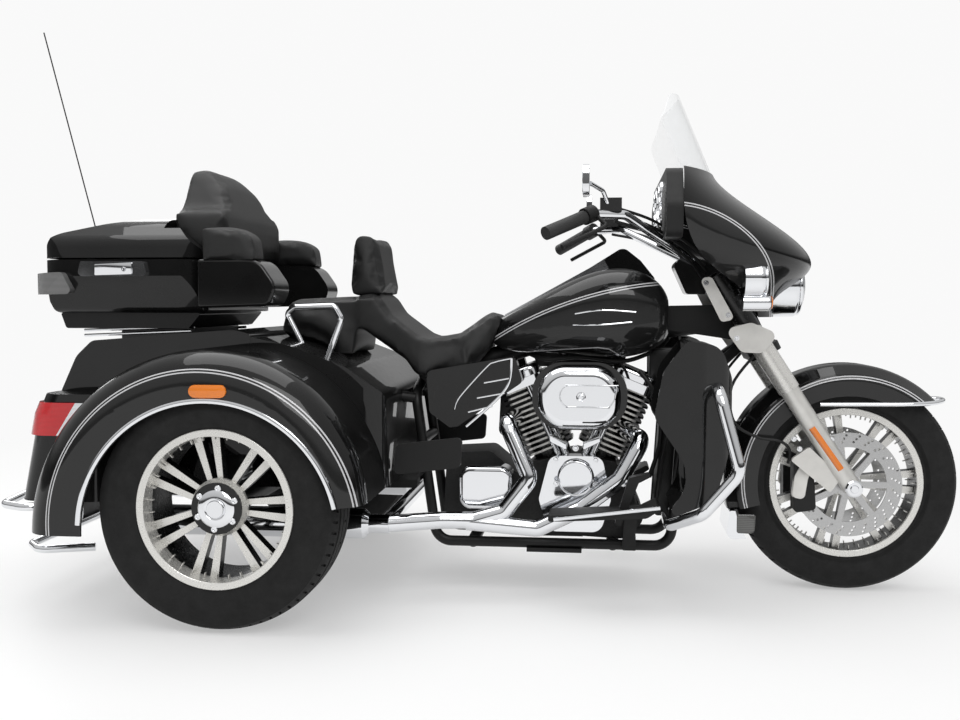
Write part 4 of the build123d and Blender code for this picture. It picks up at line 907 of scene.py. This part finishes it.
def cockpit():
    """The gauges, speakers, mirror glass and the bar's cables."""
    x = 0.5265
    rows = []
    faces = []
    for y, z, radius in ((0.068, 1.125, 0.050), (-0.068, 1.125, 0.050), (0.165, 1.145, 0.027),
                         (-0.165, 1.145, 0.027), (0.165, 1.082, 0.027), (-0.165, 1.082, 0.027)):
        faces.append(((x, y, z), (-1, 0, 0), [(0.0, radius), (0.003, radius), (0.003, 0.0)], 40))
        rows.append(((x, y, z), (-1, 0, 0), [(0.0, radius + 0.005), (0.006, radius + 0.004),
                                            (0.008, radius + 0.001), (0.003, radius - 0.001)], 40))
    joined("gauge_faces", "gauge_face", faces, spun, "steering")
    joined("gauge_rings", "chrome", rows, spun, "steering")
    cone = [(0.0, 0.066), (0.004, 0.064), (0.007, 0.040), (0.008, 0.0)]
    speakers = [((x, s * 0.285, 1.095), (-1, 0, 0), cone,
                 44) for s in (-1, 1)]
    joined("dash_speakers", "mesh_grille", speakers, spun, "steering")
    screen = [(-0.085, 1.030, 0.006), (0.085, 1.030, 0.006), (0.085, 1.066, 0.006), (-0.085, 1.066, 0.006)]
    joined("dash_screen", "gauge_face", [(screen, x, x - 0.003, "front")], slab, "steering")
    glasses = []
    for s in (-1, 1):
        glass = [(s * 0.400 - 0.050, 1.123, 0.022), (s * 0.400 + 0.050, 1.123, 0.022),
                 (s * 0.400 + 0.050, 1.187, 0.022), (s * 0.400 - 0.050, 1.187, 0.022)]
        glasses.append((glass, 0.3095, 0.3075, "front", 0.0006))
    joined("mirror_glass", "mirror_glass", glasses, slab, "steering")
    cables = [[(0.392, -0.300, 1.076), (0.50, -0.22, 1.045), (0.60, -0.12, 0.985), (0.66, -0.07, 0.93)],
              [(0.392, -0.292, 1.058), (0.50, -0.21, 1.028), (0.60, -0.11, 0.965), (0.655, -0.05, 0.90)],
              [(0.392, -0.305, 1.094), (0.50, -0.235, 1.062), (0.60, -0.135, 1.005), (0.67, -0.09, 0.95)]]
    rows = [([(px, s * py, pz) for px, py, pz in cable], LINE_RADIUS, 8, 1.0)
            for cable in cables for s in (-1, 1)]
    joined("bar_cables", "black_plastic", rows, swept, "steering")


def engine_details():
    """The air cleaner's ribs and cap, the cam cover's bolts, tappet covers and hoses."""
    oval = [(0.2475, 0.594, 0.020), (0.262, 0.612, 0.020), (0.403, 0.612, 0.006), (0.396, 0.575, 0.006),
            (0.380, 0.552, 0.010), (0.262, 0.553, 0.020), (0.2475, 0.572, 0.020)]
    path = [(p.x, -0.3062, p.y) for p in rounded(oval)]
    joined("cleaner_rib", "chrome", [(path + path[:1], 0.0016, 6, 0.7)], swept)
    cap = [(0.0, 0.013), (0.004, 0.013), (0.006, 0.010), (0.005, 0.007), (0.008, 0.005), (0.008, 0.0)]
    joined("cleaner_cap", "chrome", [((0.3044, -0.3055, 0.5807), (0, -1, 0), cap, 28)], spun)
    vent = [(0.306, 0.5085, 0.004), (0.371, 0.5085, 0.004), (0.377, 0.5155, 0.004), (0.310, 0.5155, 0.004)]
    joined("cleaner_vent", "black_plastic", [(vent, -0.298, -0.3058)], slab)
    spots = [(0.345, 0.392), (0.232, 0.392), (0.345, 0.322), (0.232, 0.322), (0.288, 0.425)]
    rows = [((x, -0.196, z), (0, -1, 0), 0.0065) for x, z in spots]
    joined("cam_bolts", "chrome", rows, bolt)
    covers = []
    for sign in (-1, 1):
        x, z = 0.285 + sign * 0.048, 0.437
        lean = sign * 0.012
        covers.append(([(x - 0.024, z - 0.010 - lean, 0.003), (x + 0.024, z - 0.010 + lean, 0.003),
                        (x + 0.024, z + 0.010 + lean, 0.003), (x - 0.024, z + 0.010 - lean, 0.003)],
                       -0.140, -0.165))
    joined("tappet_covers", "chrome", covers, slab)
    wires = [[(0.30, -0.02, 0.70), (0.255, -0.085, 0.690), (0.215, -0.105, 0.655), (0.20, -0.10, 0.62)],
             [(0.31, -0.02, 0.70), (0.37, -0.085, 0.690), (0.42, -0.10, 0.655), (0.44, -0.095, 0.61)]]
    joined("plug_wires", "black_plastic", [(wire, LINE_RADIUS, 8, 1.0) for wire in wires], swept)


def wheel_details():
    """The rear hub caps with their lugs, and the short fins round each rim's barrel."""
    cap = [(0.0, 0.049), (0.006, 0.048), (0.011, 0.041), (0.012, 0.028), (0.010, 0.025), (0.010, 0.0235),
           (0.014, 0.021), (0.014, 0.0)]
    ring = [(-0.004, 0.066), (0.0015, 0.066), (0.0015, 0.046)]
    for side, sign in (("right", -1), ("left", 1)):
        centre = (REAR_AXLE.x, sign * HUB_FACE_Y, REAR_AXLE.z)
        body = f"rear_wheel_{side}"
        joined(f"hub_cap_{side}", "chrome", [(centre, (0, sign, 0), cap, 48)], spun, body)
        joined(f"hub_ring_{side}", "gloss_black", [(centre, (0, sign, 0), ring, 48)], spun, body)
        rows = []
        for n in range(LUG_COUNT):
            turn = math.tau * (n + 0.4) / LUG_COUNT
            spot = (centre[0] + LUG_CIRCLE_R * math.cos(turn), centre[1],
                    centre[2] + LUG_CIRCLE_R * math.sin(turn))
            rows.append((spot, (0, sign, 0), 0.0085))
        joined(f"hub_lugs_{side}", "chrome", rows, bolt, body)
        fins = []
        for n in range(REAR_FIN_COUNT):
            turn = math.tau * n / REAR_FIN_COUNT
            inner, outer = (Vector((math.cos(turn), 0, math.sin(turn))) * r for r in REAR_FIN_REACH)
            middle = Vector((REAR_AXLE.x, sign * REAR_FIN_Y, REAR_AXLE.z))
            fins.append(([middle + inner, middle + outer], 0.0022, 6, 3.0))
        joined(f"rim_fins_{side}", "satin_silver", fins, swept, body)
    fins = []
    for n in range(FRONT_FIN_COUNT):
        turn = math.tau * n / FRONT_FIN_COUNT
        inner, outer = (Vector((math.cos(turn), 0, math.sin(turn))) * r for r in FRONT_FIN_REACH)
        for sign in (-1, 1):
            middle = FRONT_AXLE + Vector((0, sign * FRONT_FIN_Y, 0))
            fins.append(([middle + inner, middle + outer], 0.0020, 6, 3.0))
    joined("rim_fins_front", "satin_silver", fins, swept, "front_wheel")


def body_details():
    """The badge's bare outline, the latch's handle, the boards' edges and the flap's panel."""
    upper = [(0.284, 0.1815, 0.806), (0.36, 0.1895, 0.8165), (0.455, 0.1845, 0.811)]
    lower = [(0.2785, 0.1808, 0.774), (0.36, 0.1892, 0.7755), (0.444, 0.1868, 0.783)]
    rows = [([(x, s * y, z) for x, y, z in line], 0.0024, 8, 1.0)
            for line in (upper, lower) for s in (-1, 1)]
    joined("tank_badge_lines", "chrome", rows, swept)
    handle = [(-1.060, 0.915, 0.003), (-0.950, 0.918, 0.003), (-0.949, 0.950, 0.003), (-1.060, 0.945, 0.003)]
    joined("latch_handle", "chrome", [(handle, -0.3435, -0.3475)], slab)
    joined("latch_lock", "chrome", [((-0.973, -0.347, 0.932), (0, -1, 0), 0.0052)], bolt)
    edges = [([(0.235, s * 0.405, 0.262), (0.515, s * 0.405, 0.2985)], 0.0055, 10, 1.0) for s in (-1, 1)]
    joined("board_edges", "chrome", edges, swept)
    panel = [(0.752, 0.172, 0.006), (0.800, 0.172, 0.012), (0.803, 0.224, 0.004), (0.752, 0.224, 0.004)]
    panels = [(panel, s * 0.0958, s * 0.0972) for s in (-1, 1)]
    joined("flap_panels", "smoked_panel", panels, slab, "steering")


def engine_bay():
    """The dark parts behind the engine: intake, oil cooler, regulator, coil and hoses."""
    rows = [
        ([(0.17, 0.648, 0.02), (0.42, 0.648, 0.02), (0.44, 0.702, 0.02), (0.15, 0.702, 0.02)],
         -0.045, 0.045),
        ([(0.515, 0.215, 0.01), (0.560, 0.215, 0.01), (0.585, 0.60, 0.02), (0.54, 0.62, 0.02)],
         -0.085, 0.085),
        ([(0.50, 0.60, 0.02), (0.60, 0.61, 0.02), (0.60, 0.70, 0.02), (0.50, 0.70, 0.02)], -0.040, 0.040),
        ([(0.055, 0.44, 0.02), (0.135, 0.44, 0.02), (0.155, 0.60, 0.02), (0.065, 0.62, 0.02)],
         -0.060, 0.060),
    ]
    joined("engine_bay_boxes", "satin_black", [row + ("side", 0.004) for row in rows], slab)
    hoses = [[(0.14, -0.06, 0.69), (0.20, -0.10, 0.672), (0.30, -0.11, 0.680), (0.42, -0.10, 0.668),
              (0.50, -0.06, 0.69)],
             [(0.47, -0.09, 0.64), (0.52, -0.11, 0.56), (0.53, -0.10, 0.44), (0.50, -0.09, 0.33)],
             [(0.56, -0.10, 0.62), (0.555, -0.115, 0.50), (0.535, -0.11, 0.38), (0.52, -0.10, 0.27)]]
    joined("engine_hoses", "black_plastic", [(hose, 0.0065, 10, 1.0) for hose in hoses], swept)


def main_pieces():
    """Every piece that the frame doesn't hold."""
    tyres()
    padding()
    trims()
    side_cover_trim()
    lamp_lenses()
    fork_details()
    cockpit()
    engine_details()
    wheel_details()
    body_details()
    engine_bay()


def stage():
    """The pale floor that fades into the white backdrop, and the studio's lamps."""
    scene = bpy.context.scene
    scene.view_settings.view_transform = "Standard"

    bm = bmesh.new()
    bmesh.ops.create_circle(bm, cap_ends=True, radius=FLOOR_RADIUS, segments=96)
    floor = finished(bm, "floor", None, None, 0.0, False)
    s = Shader("floor_paint", base_color=grey(0.85), roughness=0.6)
    s.set(roughness=s.noise(3.0, 2.0) * 0.1 + 0.5)
    x, y = s.axis("X"), s.axis("Y")
    away = (x * x * 0.35 + y * y) ** 0.5
    share = s.ramp(away * 0.25, [(0.15, 0.42), (0.85, 1.0)])
    glow = s.node("ShaderNodeEmission", {}, grey(1.0), BACKDROP)
    shade = s.node("ShaderNodeMixShader", {}, share, Socket(s, s.surface.outputs[0]), glow)
    s.tree.links.new(shade.link, s.output.inputs["Surface"])
    floor.data.materials.append(s.material)

    world = bpy.data.worlds.new("studio")
    scene.world = world
    world.use_nodes = True
    tree = world.node_tree
    back = tree.nodes["Background"]
    back.inputs["Strength"].default_value = STUDIO_STRENGTH
    spot = tree.nodes.new("ShaderNodeTexCoord")
    split = tree.nodes.new("ShaderNodeSeparateXYZ")
    rise = tree.nodes.new("ShaderNodeMath")
    rise.operation = "MULTIPLY_ADD"
    rise.inputs[1].default_value, rise.inputs[2].default_value = 0.5, 0.5
    sky = tree.nodes.new("ShaderNodeValToRGB")
    ramp = sky.color_ramp
    rows = [(0.0, 0.9), (0.495, 0.85), (0.505, 0.05), (0.545, 0.08), (0.60, 0.85), (1.0, 1.2)]
    while len(ramp.elements) > 1:
        ramp.elements.remove(ramp.elements[-1])
    for n, (position, value) in enumerate(rows):
        stop = ramp.elements[0] if n == 0 else ramp.elements.new(position)
        stop.position, stop.color = position, (value, value, value, 1.0)
    tree.links.new(spot.outputs["Generated"], split.inputs[0])
    tree.links.new(split.outputs["Z"], rise.inputs[0])
    tree.links.new(rise.outputs[0], sky.inputs[0])
    tree.links.new(sky.outputs[0], back.inputs["Color"])
    white = tree.nodes.new("ShaderNodeBackground")
    white.inputs["Color"].default_value = grey(1.0)
    white.inputs["Strength"].default_value = BACKDROP
    rays = tree.nodes.new("ShaderNodeLightPath")
    pick = tree.nodes.new("ShaderNodeMixShader")
    tree.links.new(rays.outputs["Is Camera Ray"], pick.inputs[0])
    tree.links.new(back.outputs[0], pick.inputs[1])
    tree.links.new(white.outputs[0], pick.inputs[2])
    tree.links.new(pick.outputs[0], tree.nodes["World Output"].inputs["Surface"])

    lamps = [
        ("key_lamp", (1.5, -4.5, 4.2), (0.0, 0.0, 0.5), 3.2, 130.0),
        ("top_lamp", (-0.6, 0.0, 4.6), (0.0, 0.0, 0.4), 4.0, 120.0),
        ("back_lamp", (-3.5, 4.0, 2.8), (0.0, 0.0, 0.6), 2.5, 60.0),
    ]
    for name, place, aim, size, power in lamps:
        light = bpy.data.lights.new(name, "AREA")
        light.shape, light.size, light.energy = "SQUARE", size, power
        lamp = bpy.data.objects.new(name, light)
        scene.collection.objects.link(lamp)
        lamp.location = place
        lamp.rotation_euler = (Vector(aim) - Vector(place)).to_track_quat("-Z", "Y").to_euler()


def camera():
    """The camera at the photograph's place, height and angle."""
    lens_data = bpy.data.cameras.new("camera")
    lens_data.lens, lens_data.sensor_width, lens_data.sensor_fit = LENS_MM, SENSOR_MM, "HORIZONTAL"
    cam = bpy.data.objects.new("camera", lens_data)
    bpy.context.scene.collection.objects.link(cam)
    cam.location = CAMERA_SPOT
    cam.rotation_euler = [math.radians(turn) for turn in CAMERA_TURN_DEG]
    bpy.context.scene.camera = cam


camera()
dress_nodes()
main_pieces()
stage()
